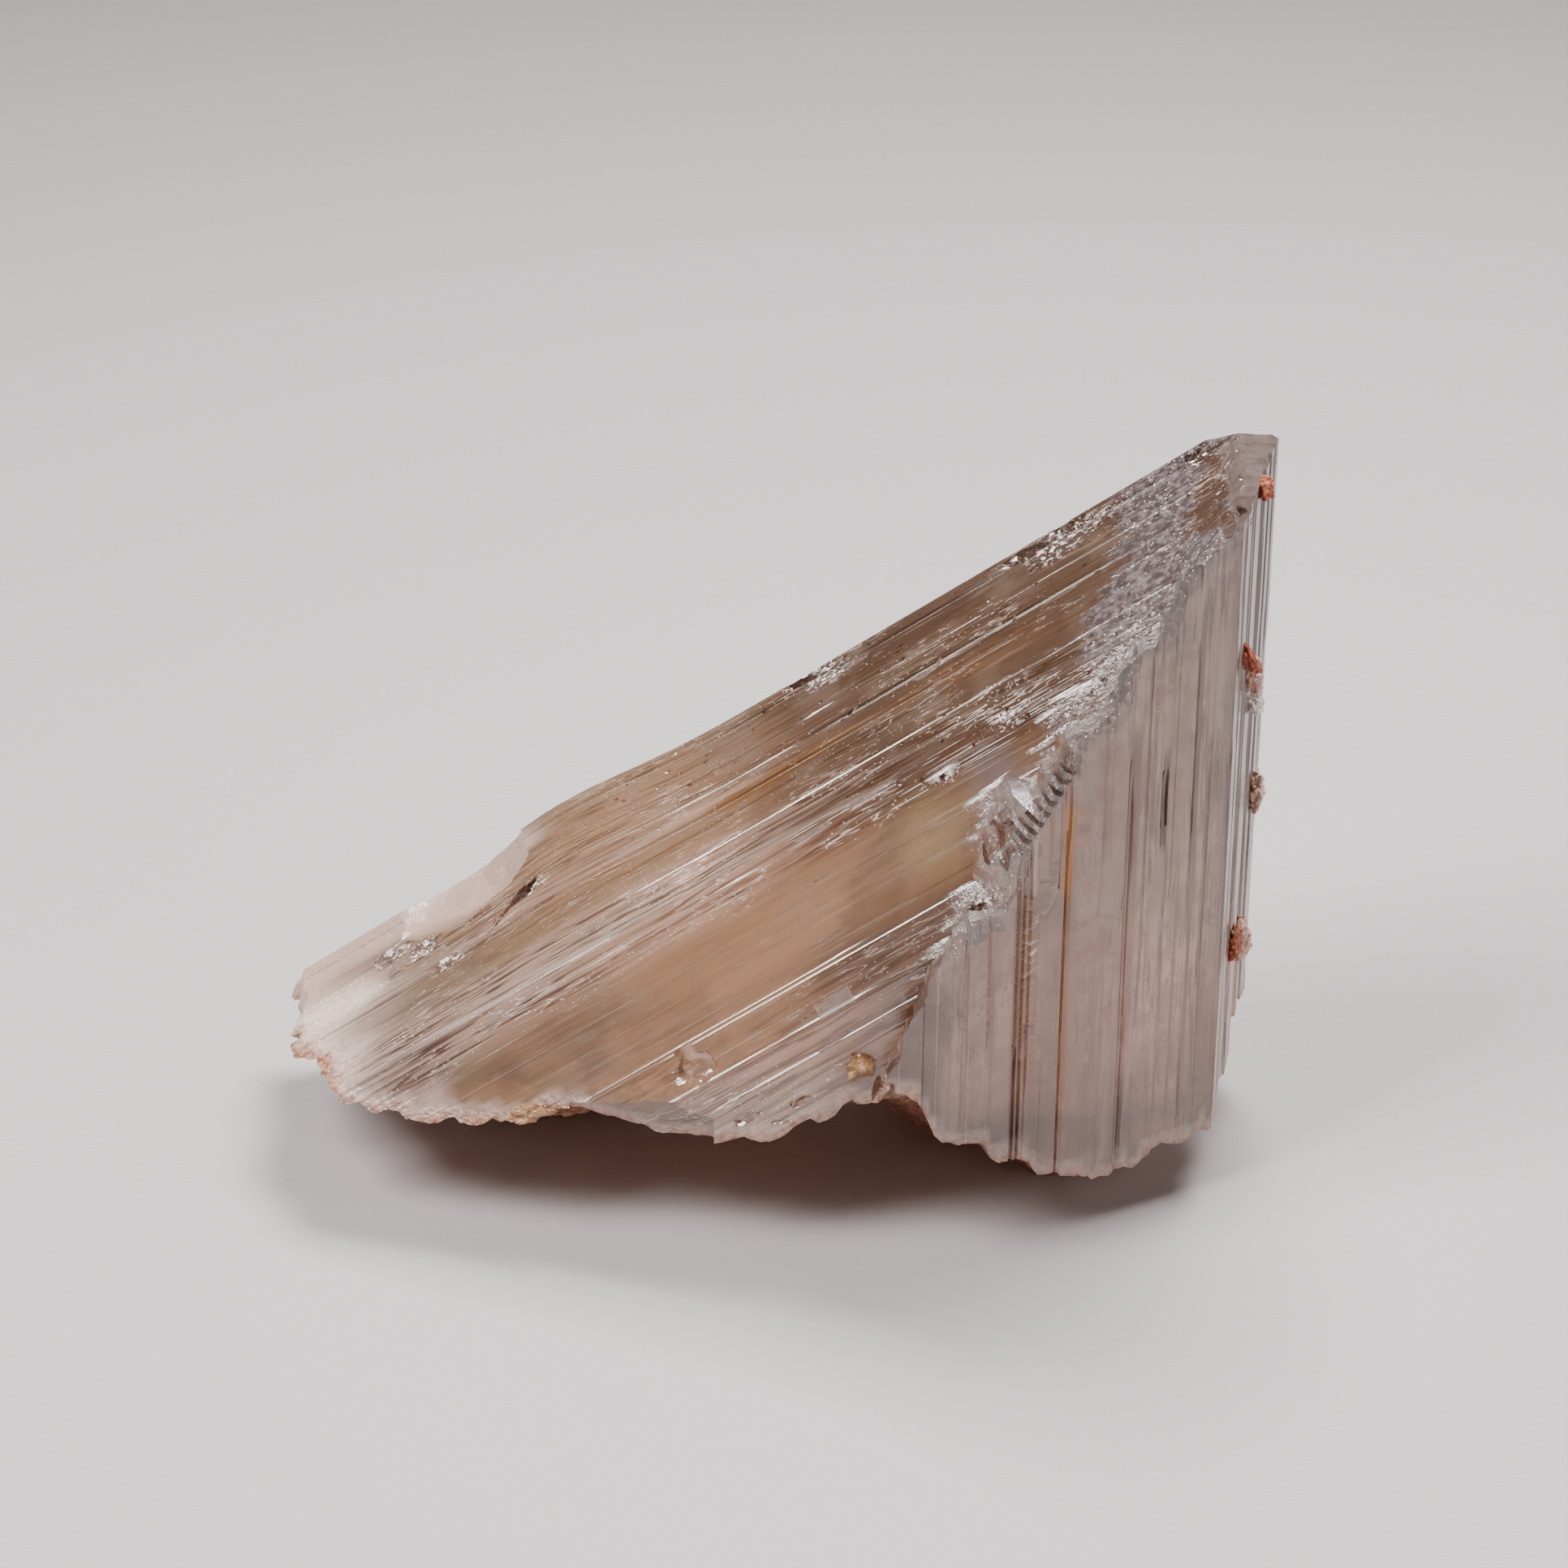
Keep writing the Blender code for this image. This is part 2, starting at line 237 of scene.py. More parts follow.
# Sections are (outward, back) corners. Bands give how strongly the growth lines stand out across them,
# and lines are (across, half width, height, from, to). Plates are (from across, to across, end, height, bow).
leftArm = {
    "section": ((3.6, -8.9), (9.76, -9.0), (17.28, -4.44), (18.4, 0.4), (19.16, 8.4),
                (17.6, 11.0), (10.4, 12.0), (3.6, 10.2), (-0.8, 3.4), (0.0, -6.6)),
    "visible": 4,
    "lineStep": 0.055,  # between the lines of the mesh, across the faces that show most
    "reach": (-29.0, 39.0),
    "seed": 11,
    "swell": (-1.0, 5.5, 0.75),  # the bulge on its back, as (place along it, half length, height)
    "calm": (-6.0, 8.0, 0.9),  # the growth lines grow fainter between these places along it, by this share
    "frame": leftFrame,
    "bands": ((0.0, 0.9), (6.0, 1.0), (6.3, 0.35), (8.3, 0.4), (8.7, 0.08), (12.6, 0.08), (13.6, 0.85),
              (17.2, 0.9), (17.7, 0.3), (20.4, 0.4), (21.2, 0.6), (28.0, 0.6), (29.0, 0.3)),
    "lines": ((8.55, 0.1, 0.05, -20.0, 12.0), (6.3, 0.1, 0.04, -8.0, 12.0), (14.2, 0.1, 0.05, -16.0, 9.0),
              (15.1, 0.1, 0.04, -18.0, 10.0), (16.2, 0.1, 0.04, -12.0, 10.0), (17.25, 0.1, -0.03, -12.0, 12.0),
              (19.9, 0.12, -0.05, -4.0, 26.0), (22.1, 0.1, -0.04, -2.0, 34.0), (24.3, 0.1, -0.04, 2.0, 34.0)),
    "plates": ((9.0, 12.4, 20.0, -0.1, 2.0),),
}
rightArm = {
    "section": ((2.7, -10.1), (8.57, -10.16), (21.3, -3.0), (23.95, 8.08), (22.5, 10.6),
                (15.9, 12.1), (8.3, 11.4), (3.1, 7.4), (1.1, 1.4), (1.1, -5.0)),
    "visible": 3,
    "lineStep": 0.08,
    "reach": (-1.5, 40.5),
    "seed": 23,
    "swell": (0.0, 1.0, 0.0),
    "calm": (0.0, 1.0, 0.0),
    "frame": rightFrame,
    "bands": ((0.0, 0.1), (5.5, 0.1), (6.2, 0.1), (13.0, 0.12), (20.2, 0.25), (20.6, 0.6), (31.8, 0.6)),
    "lines": ((5.85, 0.1, -0.1, 2.0, 22.0), (8.65, 0.1, -0.22, 2.0, 21.5), (9.0, 0.08, -0.18, 2.0, 21.0),
              (11.3, 0.1, -0.16, 2.0, 22.6), (14.8, 0.1, -0.2, 2.0, 26.0), (16.65, 0.14, -0.3, 20.2, 25.4),
              (13.2, 0.08, -0.1, 17.0, 30.0), (19.2, 0.1, -0.1, 12.0, 33.0), (24.0, 0.2, -0.2, 8.0, 38.0),
              (22.0, 0.15, -0.16, 4.0, 30.0), (27.5, 0.2, -0.18, 4.0, 34.0)),
    "plates": ((9.25, 10.8, 18.3, 0.16, 1.3), (11.6, 14.5, 17.7, 0.12, 0.2), (15.9, 17.3, 15.5, 0.14, 3.0),
               (2.6, 5.6, 13.0, 0.1, 1.0)),
}
growthLines = {
    "lineWidth": 0.12,
    "lineDepth": 0.03,
    "lineLength": 6.0,
    "seed": 5.0,
}


def stripsOf(arm):
    rng = random.Random(arm["seed"])
    section = arm["section"]
    strips = []
    across = 0.0
    for index, corner in enumerate(section):
        start = Vector(corner)
        side = Vector(section[(index + 1) % len(section)]) - start
        normal = Vector((side.y, -side.x)).normalized()
        shown = index < arm["visible"]
        count = max(2, round(side.length / (twin["stripWidth"] * (1.0 if shown else twin["hiddenStrips"]))))
        jitter = twin["stripJitter"]
        cuts = [0.0] + [(i + rng.uniform(-jitter, jitter)) / count for i in range(1, count)] + [1.0]
        for low, high in zip(cuts, cuts[1:]):
            strips.append((start + side * low, start + side * high, normal, across + side.length * low, shown))
        across += side.length
    return strips


# A prism whose strips step in and out along it. Its points carry what the growth line tree reads.
def crystalSkin(name, arm):
    strips = stripsOf(arm)
    rng = random.Random(arm["seed"] + 1)
    low, high = arm["reach"]
    rows = round((high - low) / twin["rowStep"]) + 1
    stations = np.linspace(low, high, rows)
    swellPlace, swellHalf, swellHeight = arm["swell"]
    swollen = swellHeight * np.exp(-(((stations - swellPlace) / swellHalf) ** 2))
    bands = np.array(arm["bands"])
    columns, normals, acrosses, heights = [], [], [], []
    for start, end, normal, across, shown in strips:
        level = rng.uniform(-1.0, 1.0)
        turns = sorted(rng.uniform(low, high) for _ in range(2))
        first, second = (rng.uniform(-twin["ledgeTurn"], twin["ledgeTurn"]) for _ in range(2))
        height = (level + first * (stations > turns[0]) + second * (stations > turns[1])) * twin["ledgeHeight"]
        side = end - start
        inset = side.normalized() * twin["stripInset"]
        count = max(1, round(side.length / (arm["lineStep"] if shown else twin["hiddenStep"])))
        for i in range(count + 1):
            columns.append(start + inset + (side - 2.0 * inset) * (i / count))
            normals.append(normal)
            acrosses.append(across + side.length * i / count)
            heights.append(height)
    columns, normals, acrosses = np.array(columns), np.array(normals), np.array(acrosses)
    heights = np.array(heights).T
    for place, half, height, begin, finish in arm["lines"]:
        shape = np.clip(1.6 - np.abs(acrosses - place) / half, 0.0, 1.0)
        ends = np.clip(np.minimum(stations - begin, finish - stations) / 2.0, 0.0, 1.0)
        heights = heights + height * ends[:, None] * shape[None, :]
    for begin, finish, end, height, bow in arm["plates"]:
        middle = (begin + finish) / 2.0
        inside = np.clip((np.minimum(acrosses - begin, finish - acrosses)) / twin["plateEdge"], 0.0, 1.0)
        edge = end + bow * ((acrosses - middle) / (finish - begin) * 2.0) ** 2
        reached = np.clip((stations[:, None] - edge[None, :]) / twin["plateEnd"], 0.0, 1.0)
        heights = heights + height * inside[None, :] * reached
    points = columns[None, :, :] + normals[None, :, :] * heights[:, :, None]
    backShare = np.clip((points[:, :, 1] + 4.4) / 9.0, 0.0, 1.0)
    outwards = swollen[:, None] * backShare * np.maximum(0.0, points[:, :, 0] - arm["section"][0][0]) / 16.0
    local = np.stack([points[:, :, 0] + outwards, points[:, :, 1],
                      np.broadcast_to(stations[:, None], heights.shape)], axis=2)
    turn = np.array(arm["frame"].to_3x3())
    world = local.reshape(-1, 3) @ turn.T
    count = len(acrosses)
    faces = []
    for row in range(rows - 1):
        for i in range(count):
            j = (i + 1) % count
            faces.append((row * count + i, row * count + j, (row + 1) * count + j, (row + 1) * count + i))
    faces.append(tuple(range(count))[::-1])
    faces.append(tuple(range((rows - 1) * count, rows * count)))
    mesh = bpy.data.meshes.new(name)
    mesh.from_pydata((world * mm).tolist(), [], faces)
    made = placed(name, mesh)
    flat = np.concatenate([normals, np.zeros((count, 1))], axis=1) @ turn.T
    ridges = np.interp(acrosses, bands[:, 0], bands[:, 1], right=0.3)
    carry(mesh, "across", np.tile(acrosses, rows))
    carry(mesh, "along", np.repeat(stations, count))
    begin, finish, share = arm["calm"]
    calm = 1.0 - share * step(stations, begin, finish)
    carry(mesh, "ridge", (calm[:, None] * ridges[None, :]).ravel())
    carry(mesh, "outward", np.tile(flat, (rows, 1)), "FLOAT_VECTOR")
    facesOut(mesh)
    return made


def placed(name, mesh):
    made = bpy.data.objects.new(name, mesh)
    scene.collection.objects.link(made)
    return made


def carry(mesh, name, values, kind="FLOAT"):
    layer = mesh.attributes.new(name, kind, "POINT")
    layer.data.foreach_set("vector" if kind == "FLOAT_VECTOR" else "value", np.asarray(values, np.float32).ravel())


def facesOut(mesh):
    builder = bmesh.new()
    builder.from_mesh(mesh)
    bmesh.ops.recalc_face_normals(builder, faces=builder.faces)
    builder.to_mesh(mesh)
    builder.free()


# A Geometry Nodes tree with named inputs, whose last steps are always the same.
class Recipe(Tree):
    def __init__(self, name, inputs):
        self.group = bpy.data.node_groups.new(name, "GeometryNodeTree")
        super().__init__(self.group)
        self.group.interface.new_socket("Geometry", in_out="OUTPUT", socket_type="NodeSocketGeometry")
        self.group.interface.new_socket("Geometry", in_out="INPUT", socket_type="NodeSocketGeometry")
        for label in inputs:
            self.group.interface.new_socket(label, in_out="INPUT", socket_type="NodeSocketFloat")
        self.group.interface.new_socket("Material", in_out="INPUT", socket_type="NodeSocketMaterial")
        self.start = self.nodes.new("NodeGroupInput")

    def given(self, label):
        return Wire(self, self.start.outputs[label])

    def carried(self, label, kind="FLOAT"):
        return self.add("GeometryNodeInputNamedAttribute", {"data_type": kind}, {"Name": label}, "Attribute")

    def end(self, shape):
        real = self.add("GeometryNodeRealizeInstances", None, {"Geometry": shape})
        inputs = {"Geometry": real, "Material": self.given("Material")}
        dressed = self.add("GeometryNodeSetMaterial", None, inputs)
        last = self.nodes.new("NodeGroupOutput")
        self.links.new(dressed.socket, last.inputs["Geometry"])
        return self.group

    def apply(self, made, values, material):
        step = made.modifiers.new(self.group.name, "NODES")
        step.node_group = self.group
        for item in self.group.interface.items_tree:
            if item.in_out == "INPUT" and item.name in values:
                step[item.identifier] = values[item.name]
            elif item.in_out == "INPUT" and item.name == "Material":
                step[item.identifier] = material
        bake(made)


def bake(made):
    bpy.context.view_layer.update()
    evaluated = made.evaluated_get(bpy.context.evaluated_depsgraph_get())
    mesh = bpy.data.meshes.new_from_object(evaluated)
    made.modifiers.clear()
    made.data = mesh
    return made


def growthLineTree():
    tree = Recipe("growth lines", ("Line Width", "Line Depth", "Line Length", "Seed"))
    across, along = tree.carried("across"), tree.carried("along")
    total = None
    for coarser, share in ((1.0, 0.8), (2.3, 0.7), (6.4, 0.35)):
        cell = (across / (tree.given("Line Width") * coarser) + tree.given("Seed") * coarser).floor()
        start = tree.add("ShaderNodeTexWhiteNoise", {"noise_dimensions": "1D"}, {"W": cell}, "Value")
        part = (along / (tree.given("Line Length") * coarser ** 0.5) + start * 7.0).floor()
        place = tree.vector(cell, part, tree.given("Seed"))
        level = tree.add("ShaderNodeTexWhiteNoise", {"noise_dimensions": "3D"}, {"Vector": place}, "Value")
        height = (level - 0.5) * share
        total = height if total is None else total + height
    height = total * tree.given("Line Depth") * tree.carried("ridge") * mm
    offset = tree.carried("outward", "FLOAT_VECTOR").scaled(height)
    moved = tree.add("GeometryNodeSetPosition", None, {"Geometry": tree.given("Geometry"), "Offset": offset})
    tree.end(moved)
    return tree


# The seam between the arms, as (distance up it, offset towards the right arm in front, the same behind).
seam = {
    "tilt": 61.4,
    "yaw": 0.03,
    "foot": Vector((4.92, -10.12, 9.72)),
    "path": ((-14.0, 0.6, 0.6), (-1.6, 0.56, 0.56), (0.0, 0.0, 0.0), (3.2, -0.5, -0.5), (7.5, -0.94, -0.94),
             (9.7, -0.75, -1.1), (10.6, 0.5, -1.3), (11.7, 0.6, -1.6), (13.3, 0.0, -1.9), (14.0, -0.42, -1.9),
             (15.4, -0.35, -1.9), (15.8, -0.2, -1.2), (16.5, -0.1, -0.9), (18.0, 0.1, -0.5), (18.9, -0.3, -0.4),
             (19.5, 0.17, -0.1), (21.5, 0.97, 0.6), (22.9, 0.1, 0.1), (24.1, 0.2, 0.25), (24.7, 1.1, 1.1),
             (26.0, 1.3, 0.9), (27.4, 0.6, 0.7), (28.6, 0.8, 1.1), (30.0, 1.1, 1.5), (31.1, 1.6, 1.8),
             (33.0, 2.9, 2.9), (37.0, 3.8, 3.8), (46.0, 4.4, 4.4)),
    "frontDepth": 1.6,
    "depths": (-8.0, 0.0, 1.6, 3.2, 5.0, 8.5, 13.0, 18.0, 30.0),
    "jog": 0.35,
    # how wide the glassy grey zone on the left arm's side is, as (distance up the seam, width)
    "glass": ((6.0, 0.0), (9.0, 0.4), (10.5, 1.4), (13.0, 2.4), (15.0, 2.0), (16.5, 0.6), (18.6, 0.7),
              (20.0, 1.3), (22.4, 1.7), (24.0, 1.0), (25.5, 2.2), (28.5, 2.0), (30.5, 1.5), (32.5, 1.2), (40.0, 0.8)),
    "overlap": 0.2,
    "cell": 0.3,
    "rough": 0.22,
}
seamTilt = math.radians(seam["tilt"])
seamUp = Vector((math.cos(seamTilt), 0.0, math.sin(seamTilt)))
seamAcross = Vector((math.sin(seamTilt), 0.0, -math.cos(seamTilt)))
seamBack = Vector((0.0, 1.0, 0.0)) + seamAcross * seam["yaw"]


def seamOffsets():
    rng = random.Random(41)
    table = []
    for depth in seam["depths"]:
        row = []
        for _, front, behind in seam["path"]:
            jog = rng.uniform(-seam["jog"], seam["jog"]) if seam["frontDepth"] < depth < 30.0 else 0.0
            row.append((front if depth <= seam["frontDepth"] else behind) + jog)
        table.append(row)
    return np.array(table)


# The region on one side of the seam. Its wall carries fine broken steps.
def seamBlock(name, side, overlap):
    table = seamOffsets()
    distances = np.array([corner[0] for corner in seam["path"]])
    fine = np.unique(np.concatenate([np.arange(-14.0, 46.0, seam["cell"]), distances]))
    depths = np.concatenate([[-8.0], np.arange(-1.5, 22.0, seam["cell"] * 1.5), [30.0]])
    rings = []
    for depth in depths:
        place = np.interp(depth, seam["depths"], np.arange(len(seam["depths"])))
        below = int(min(place, len(seam["depths"]) - 2))
        share = place - below
        offsets = np.interp(fine, distances, table[below] * (1.0 - share) + table[below + 1] * share)
        ring = []
        for distance, offset in zip(fine, offsets):
            spot = Vector((distance * 0.9, depth * 0.35, 4.0))
            rough = noise.noise(spot) * seam["rough"] + noise.cell(spot * 1.7) * seam["rough"] * 0.5
            if not -1.0 < depth < 29.0:
                rough = 0.0
            across = seamAcross * (offset + rough + side * overlap)
            ring.append(seam["foot"] + seamUp * distance + across + seamBack * depth)
        far = seamAcross * side * 60.0
        ring.append(ring[-1] + far)
        ring.append(ring[0] + far)
        rings.append(ring)
    return loft(name, rings)


def loft(name, rings):
    builder = bmesh.new()
    made = [[builder.verts.new(point) for point in ring] for ring in rings]
    count = len(rings[0])
    for low, high in zip(made, made[1:]):
        for i in range(count):
            j = (i + 1) % count
            builder.faces.new((low[i], low[j], high[j], high[i]))
    builder.faces.new(made[0])
    builder.faces.new(made[-1])
    bmesh.ops.triangulate(builder, faces=builder.faces)
    return addPiece(name, builder)


def addPiece(name, builder):
    bmesh.ops.recalc_face_normals(builder, faces=builder.faces)
    bmesh.ops.scale(builder, vec=(mm, mm, mm), verts=builder.verts)
    mesh = bpy.data.meshes.new(name)
    builder.to_mesh(mesh)
    builder.free()
    return placed(name, mesh)


# The rough underside, as (x, y, height) at places across it, and the breaks across the arms' ends.
broken = {
    "underside": ((4.9, -10.0, 9.7), (8.8, -10.2, 7.0), (11.0, -8.9, 4.9), (13.2, -7.6, 3.5),
                  (16.0, -5.8, 2.7), (20.2, -3.8, 3.6), (22.0, 1.0, 4.9), (23.2, 5.0, 6.4),
                  (14.6, 0.6, -0.9), (17.2, 5.2, -0.6), (9.6, 4.4, -0.7), (3.8, -8.6, 8.4),
                  (1.3, -8.8, 7.1), (-1.3, -8.9, 6.0), (-2.7, -8.9, 5.9), (-3.9, -9.0, 6.2),
                  (-5.5, -9.0, 6.0), (-8.2, -8.7, 7.0), (-10.8, -7.8, 7.4), (-13.4, -7.4, 6.6),
                  (-16.3, -6.9, 6.0), (-18.2, -6.4, 5.7), (-19.2, -5.8, 6.3), (-21.7, -5.2, 6.2),
                  (-23.0, -3.4, 6.3), (-24.3, -1.1, 6.2), (-25.2, 1.0, 6.0), (-25.4, 5.0, 5.0),
                  (-14.4, 6.8, -0.9), (-11.6, 7.6, -0.5), (-2.0, 1.0, 3.9), (2.0, 8.5, 2.2),
                  (-4.0, 10.0, 3.4), (18.0, 11.5, 1.6), (-13.0, 0.0, 3.4), (-19.5, 7.5, 2.4)),
    "undersideCell": 0.4,
    "undersideGrain": 0.2,
    "ends": (("leftEnd", (-23.1, -3.4, 6.3), (-0.84, -0.52, 0.16), 14.0, 0.32, 12.0, 0.6, 3.0),
             ("tip", (-25.1, 3.0, 6.1), (-0.97, -0.04, 0.3), 14.0, 0.36, 10.0, 0.6, 7.0),
             ("top", (22.8, 8.0, 36.5), (0.06, -0.04, 1.0), 14.0, 0.5, 12.0, 0.2, 5.0),
             ("backTop", (22.0, 8.3, 36.5), (-0.05, 0.62, 1.0), 7.0, 0.4, 9.0, 0.15, 12.0)),
    "endGrain": 0.12,
}
# Chips out of the left arm as (along, outward, back, half sizes), then breaks as (centre, sizes, turns).
chips = {
    "left": ((26.4, 19.4, 7.5, (1.3, 0.6, 1.1)), (28.7, 19.4, 8.0, (0.9, 0.6, 0.8)),
             (13.2, 19.3, 8.0, (1.3, 0.6, 0.9)), (36.3, 19.3, 7.6, (0.9, 0.7, 0.9))),
    "breaks": (((-17.4, 6.6, 13.4), (4.6, 4.6, 2.6), -32.0, 0.0),  # the frosted bevel of the top edge
               ((-12.8, 2.5, 13.9), (3.0, 0.42, 0.55), -28.0, 41.0),  # the gash below it, in three slivers
               ((-12.2, 2.2, 14.0), (2.2, 0.3, 0.45), -30.0, 36.0),
               ((-13.6, 2.3, 13.5), (1.8, 0.26, 0.4), -26.0, 46.0),
               ((-20.3, 4.3, 9.8), (1.7, 0.8, 0.6), -30.0, 24.0),  # glassy chips near the tip
               ((-18.5, 3.1, 10.8), (1.5, 0.7, 0.5), -32.0, 30.0),
               ((-17.2, 0.4, 11.5), (1.3, 0.5, 0.5), -32.0, 10.0),
               ((-4.7, -8.6, 10.5), (1.7, 0.85, 1.2), -30.0, 0.0),  # the round fracture
               ((-1.7, -9.1, 7.5), (0.9, 0.35, 0.5), -20.0, 0.0),  # etched hollows near the lower edge
               ((-0.2, -9.1, 7.2), (0.7, 0.35, 0.4), -30.0, 0.0),
               ((0.6, -9.0, 8.3), (0.8, 0.3, 0.3), -32.0, 0.0),
               ((4.5, -10.2, 8.6), (0.7, 1.6, 1.6), 12.0, 0.0),
               ((10.3, -7.5, 21.9), (1.1, 0.9, 1.8), -25.0, 0.0),  # the frosted flap beside the seam
               ((9.2, -8.5, 18.6), (0.5, 0.5, 0.4), 0.0, 0.0),
               ((9.8, -8.7, 18.1), (0.5, 0.4, 0.3), 30.0, 0.0),
               ((8.9, -8.4, 17.6), (0.4, 0.4, 0.5), 50.0, 0.0),
               ((21.7, -0.9, 36.0), (0.85, 0.6, 0.3), 40.0, 0.0)),  # the leaf-shaped chip at the top
    # the slots that step the standing arm's edge: (first centre, last centre, count, half sizes, turn)
    "slots": ((13.3, -7.6, 25.6), (10.9, -8.5, 22.0), 9, (0.5, 0.5, 0.13), 36.0),
    # the slanting facet under the left arm: (centre, facing, half size, depth)
    "lowBevel": ((-7.0, -8.05, 7.0), (-0.176, -0.89, -0.415), 3.6, 3.0),
}
# Broken spots that get grit, a darker ground and painted glints: (place, radius).
sparks = (
    ((13.6, 7.5, 30.6), 1.7), ((15.6, 7.9, 31.9), 0.9), ((2.0, 7.9, 23.9), 1.3), ((21.4, 4.4, 35.6), 0.35),
    ((21.2, 3.4, 35.2), 0.35), ((21.0, 2.4, 34.9), 0.4), ((21.6, 5.4, 36.0), 0.35), ((9.4, -7.9, 18.7), 0.9),
    ((10.4, -4.1, 26.4), 0.5), ((10.6, -2.2, 27.5), 0.5), ((14.7, -4.6, 28.4), 0.6), ((16.0, -4.6, 30.0), 0.8),
    ((7.5, -4.7, 23.7), 0.4), ((-20.3, 4.3, 9.6), 1.0), ((-18.5, 3.2, 10.6), 0.9), ((-17.1, 0.4, 11.3), 0.7),
    ((-12.6, 2.4, 13.9), 0.9), ((20.6, 7.9, 35.6), 0.8),
)
pits = {
    "count": 150,
    "smallest": 0.07,
    "largest": 0.26,
    "flatness": 0.6,
    "seed": 9,
    # the bands, as (across from, to, along from, to, least facing outwards), and how near the skin they are
    "bands": ((20.6, 28.0, 2.0, 99.0, 0.5), (13.6, 17.4, 14.0, 31.0, 0.2)),
    "skin": 0.6,
}


def roughHeight(x, y):
    total = 0.0
    weight = 0.0
    for px, py, height in broken["underside"]:
        share = 1.0 / ((x - px) ** 2 + (y - py) ** 2 + 0.3) ** 1.6
        total += share * height
        weight += share
    lump = noise.noise(Vector((x * 0.33, y * 0.33, 2.0))) * 0.8
    grain = noise.noise(Vector((x * 0.95, y * 0.95, 9.0))) * 0.45
    fine = noise.noise(Vector((x * 2.9, y * 2.9, 6.0))) * broken["undersideGrain"]
    return total / weight + lump + grain + fine


def skirtDown(builder, depth):
    rim = [edge for edge in builder.edges if edge.is_boundary]
    made = bmesh.ops.extrude_edge_only(builder, edges=rim)
    for item in made["geom"]:
        if isinstance(item, bmesh.types.BMVert):
            item.co.z = depth
    bottom = [edge for edge in builder.edges if edge.is_boundary]
    bmesh.ops.contextual_create(builder, geom=bottom)
    bmesh.ops.triangulate(builder, faces=builder.faces)


def undersideBlock():
    builder = bmesh.new()
    halfWidth, halfDepth = 34.0, 16.0
    columns = round(2 * halfWidth / broken["undersideCell"])
    rows = round(2 * halfDepth / broken["undersideCell"])
    bmesh.ops.create_grid(builder, x_segments=columns, y_segments=rows, size=1.0)
    for vert in builder.verts:
        x = vert.co.x * halfWidth
        y = vert.co.y * halfDepth + footMiddle[1]
        vert.co = Vector((x, y, max(0.0, roughHeight(x, y))))
    skirtDown(builder, -24.0)
    return addPiece("underside", builder)


def endBlock(name, point, facing, size, cell, depth, rough, seed):
    builder = bmesh.new()
    count = round(2 * size / cell)
    bmesh.ops.create_grid(builder, x_segments=count, y_segments=count, size=size)
    for vert in builder.verts:
        place = Vector((vert.co.x * 0.22, vert.co.y * 0.22, seed))
        lump = noise.noise(place) * rough
        grain = noise.noise(place * 3.7) * rough * 0.45
        fine = noise.noise(place * 11.0) * broken["endGrain"] * min(1.0, rough * 1.4)
        vert.co.z = -(lump + grain + fine)
    skirtDown(builder, -depth)
    turn = (-Vector(facing).normalized()).to_track_quat("Z", "Y").to_matrix().to_4x4()
    bmesh.ops.transform(builder, matrix=Matrix.Translation(Vector(point)) @ turn, verts=builder.verts)
    return addPiece(name, builder)


def lumpBlock(name, place, size, seed, detail=4, rough=0.25, turn=(0.0, 0.0, 0.0)):
    builder = bmesh.new()
    bmesh.ops.create_icosphere(builder, subdivisions=detail, radius=1.0)
    for vert in builder.verts:
        scale = 1.0 + noise.noise(vert.co * 1.9 + Vector((seed, 0.0, 0.0))) * rough * 2.0
        vert.co *= scale + noise.noise(vert.co * 6.0 + Vector((seed, 3.0, 0.0))) * 0.06
    spin = Euler(turn).to_matrix().to_4x4()
    whole = Matrix.Translation(Vector(place)) @ spin @ Matrix.Diagonal((*size, 1.0))
    bmesh.ops.transform(builder, matrix=whole, verts=builder.verts)
    return addPiece(name, builder)


def carve(target, other, operation="DIFFERENCE"):
    step = target.modifiers.new(other.name, "BOOLEAN")
    step.operation = operation
    step.object = other
    step.solver = "MANIFOLD"
    bake(target)
    bpy.data.objects.remove(other)


def slotBlock(place, size, dip):
    builder = bmesh.new()
    bmesh.ops.create_cube(builder, size=2.0)
    whole = Matrix.Translation(place) @ Euler((0.0, dip, 0.0)).to_matrix().to_4x4() @ Matrix.Diagonal((*size, 1.0))
    bmesh.ops.transform(builder, matrix=whole, verts=builder.verts)
    return addPiece("slot", builder)


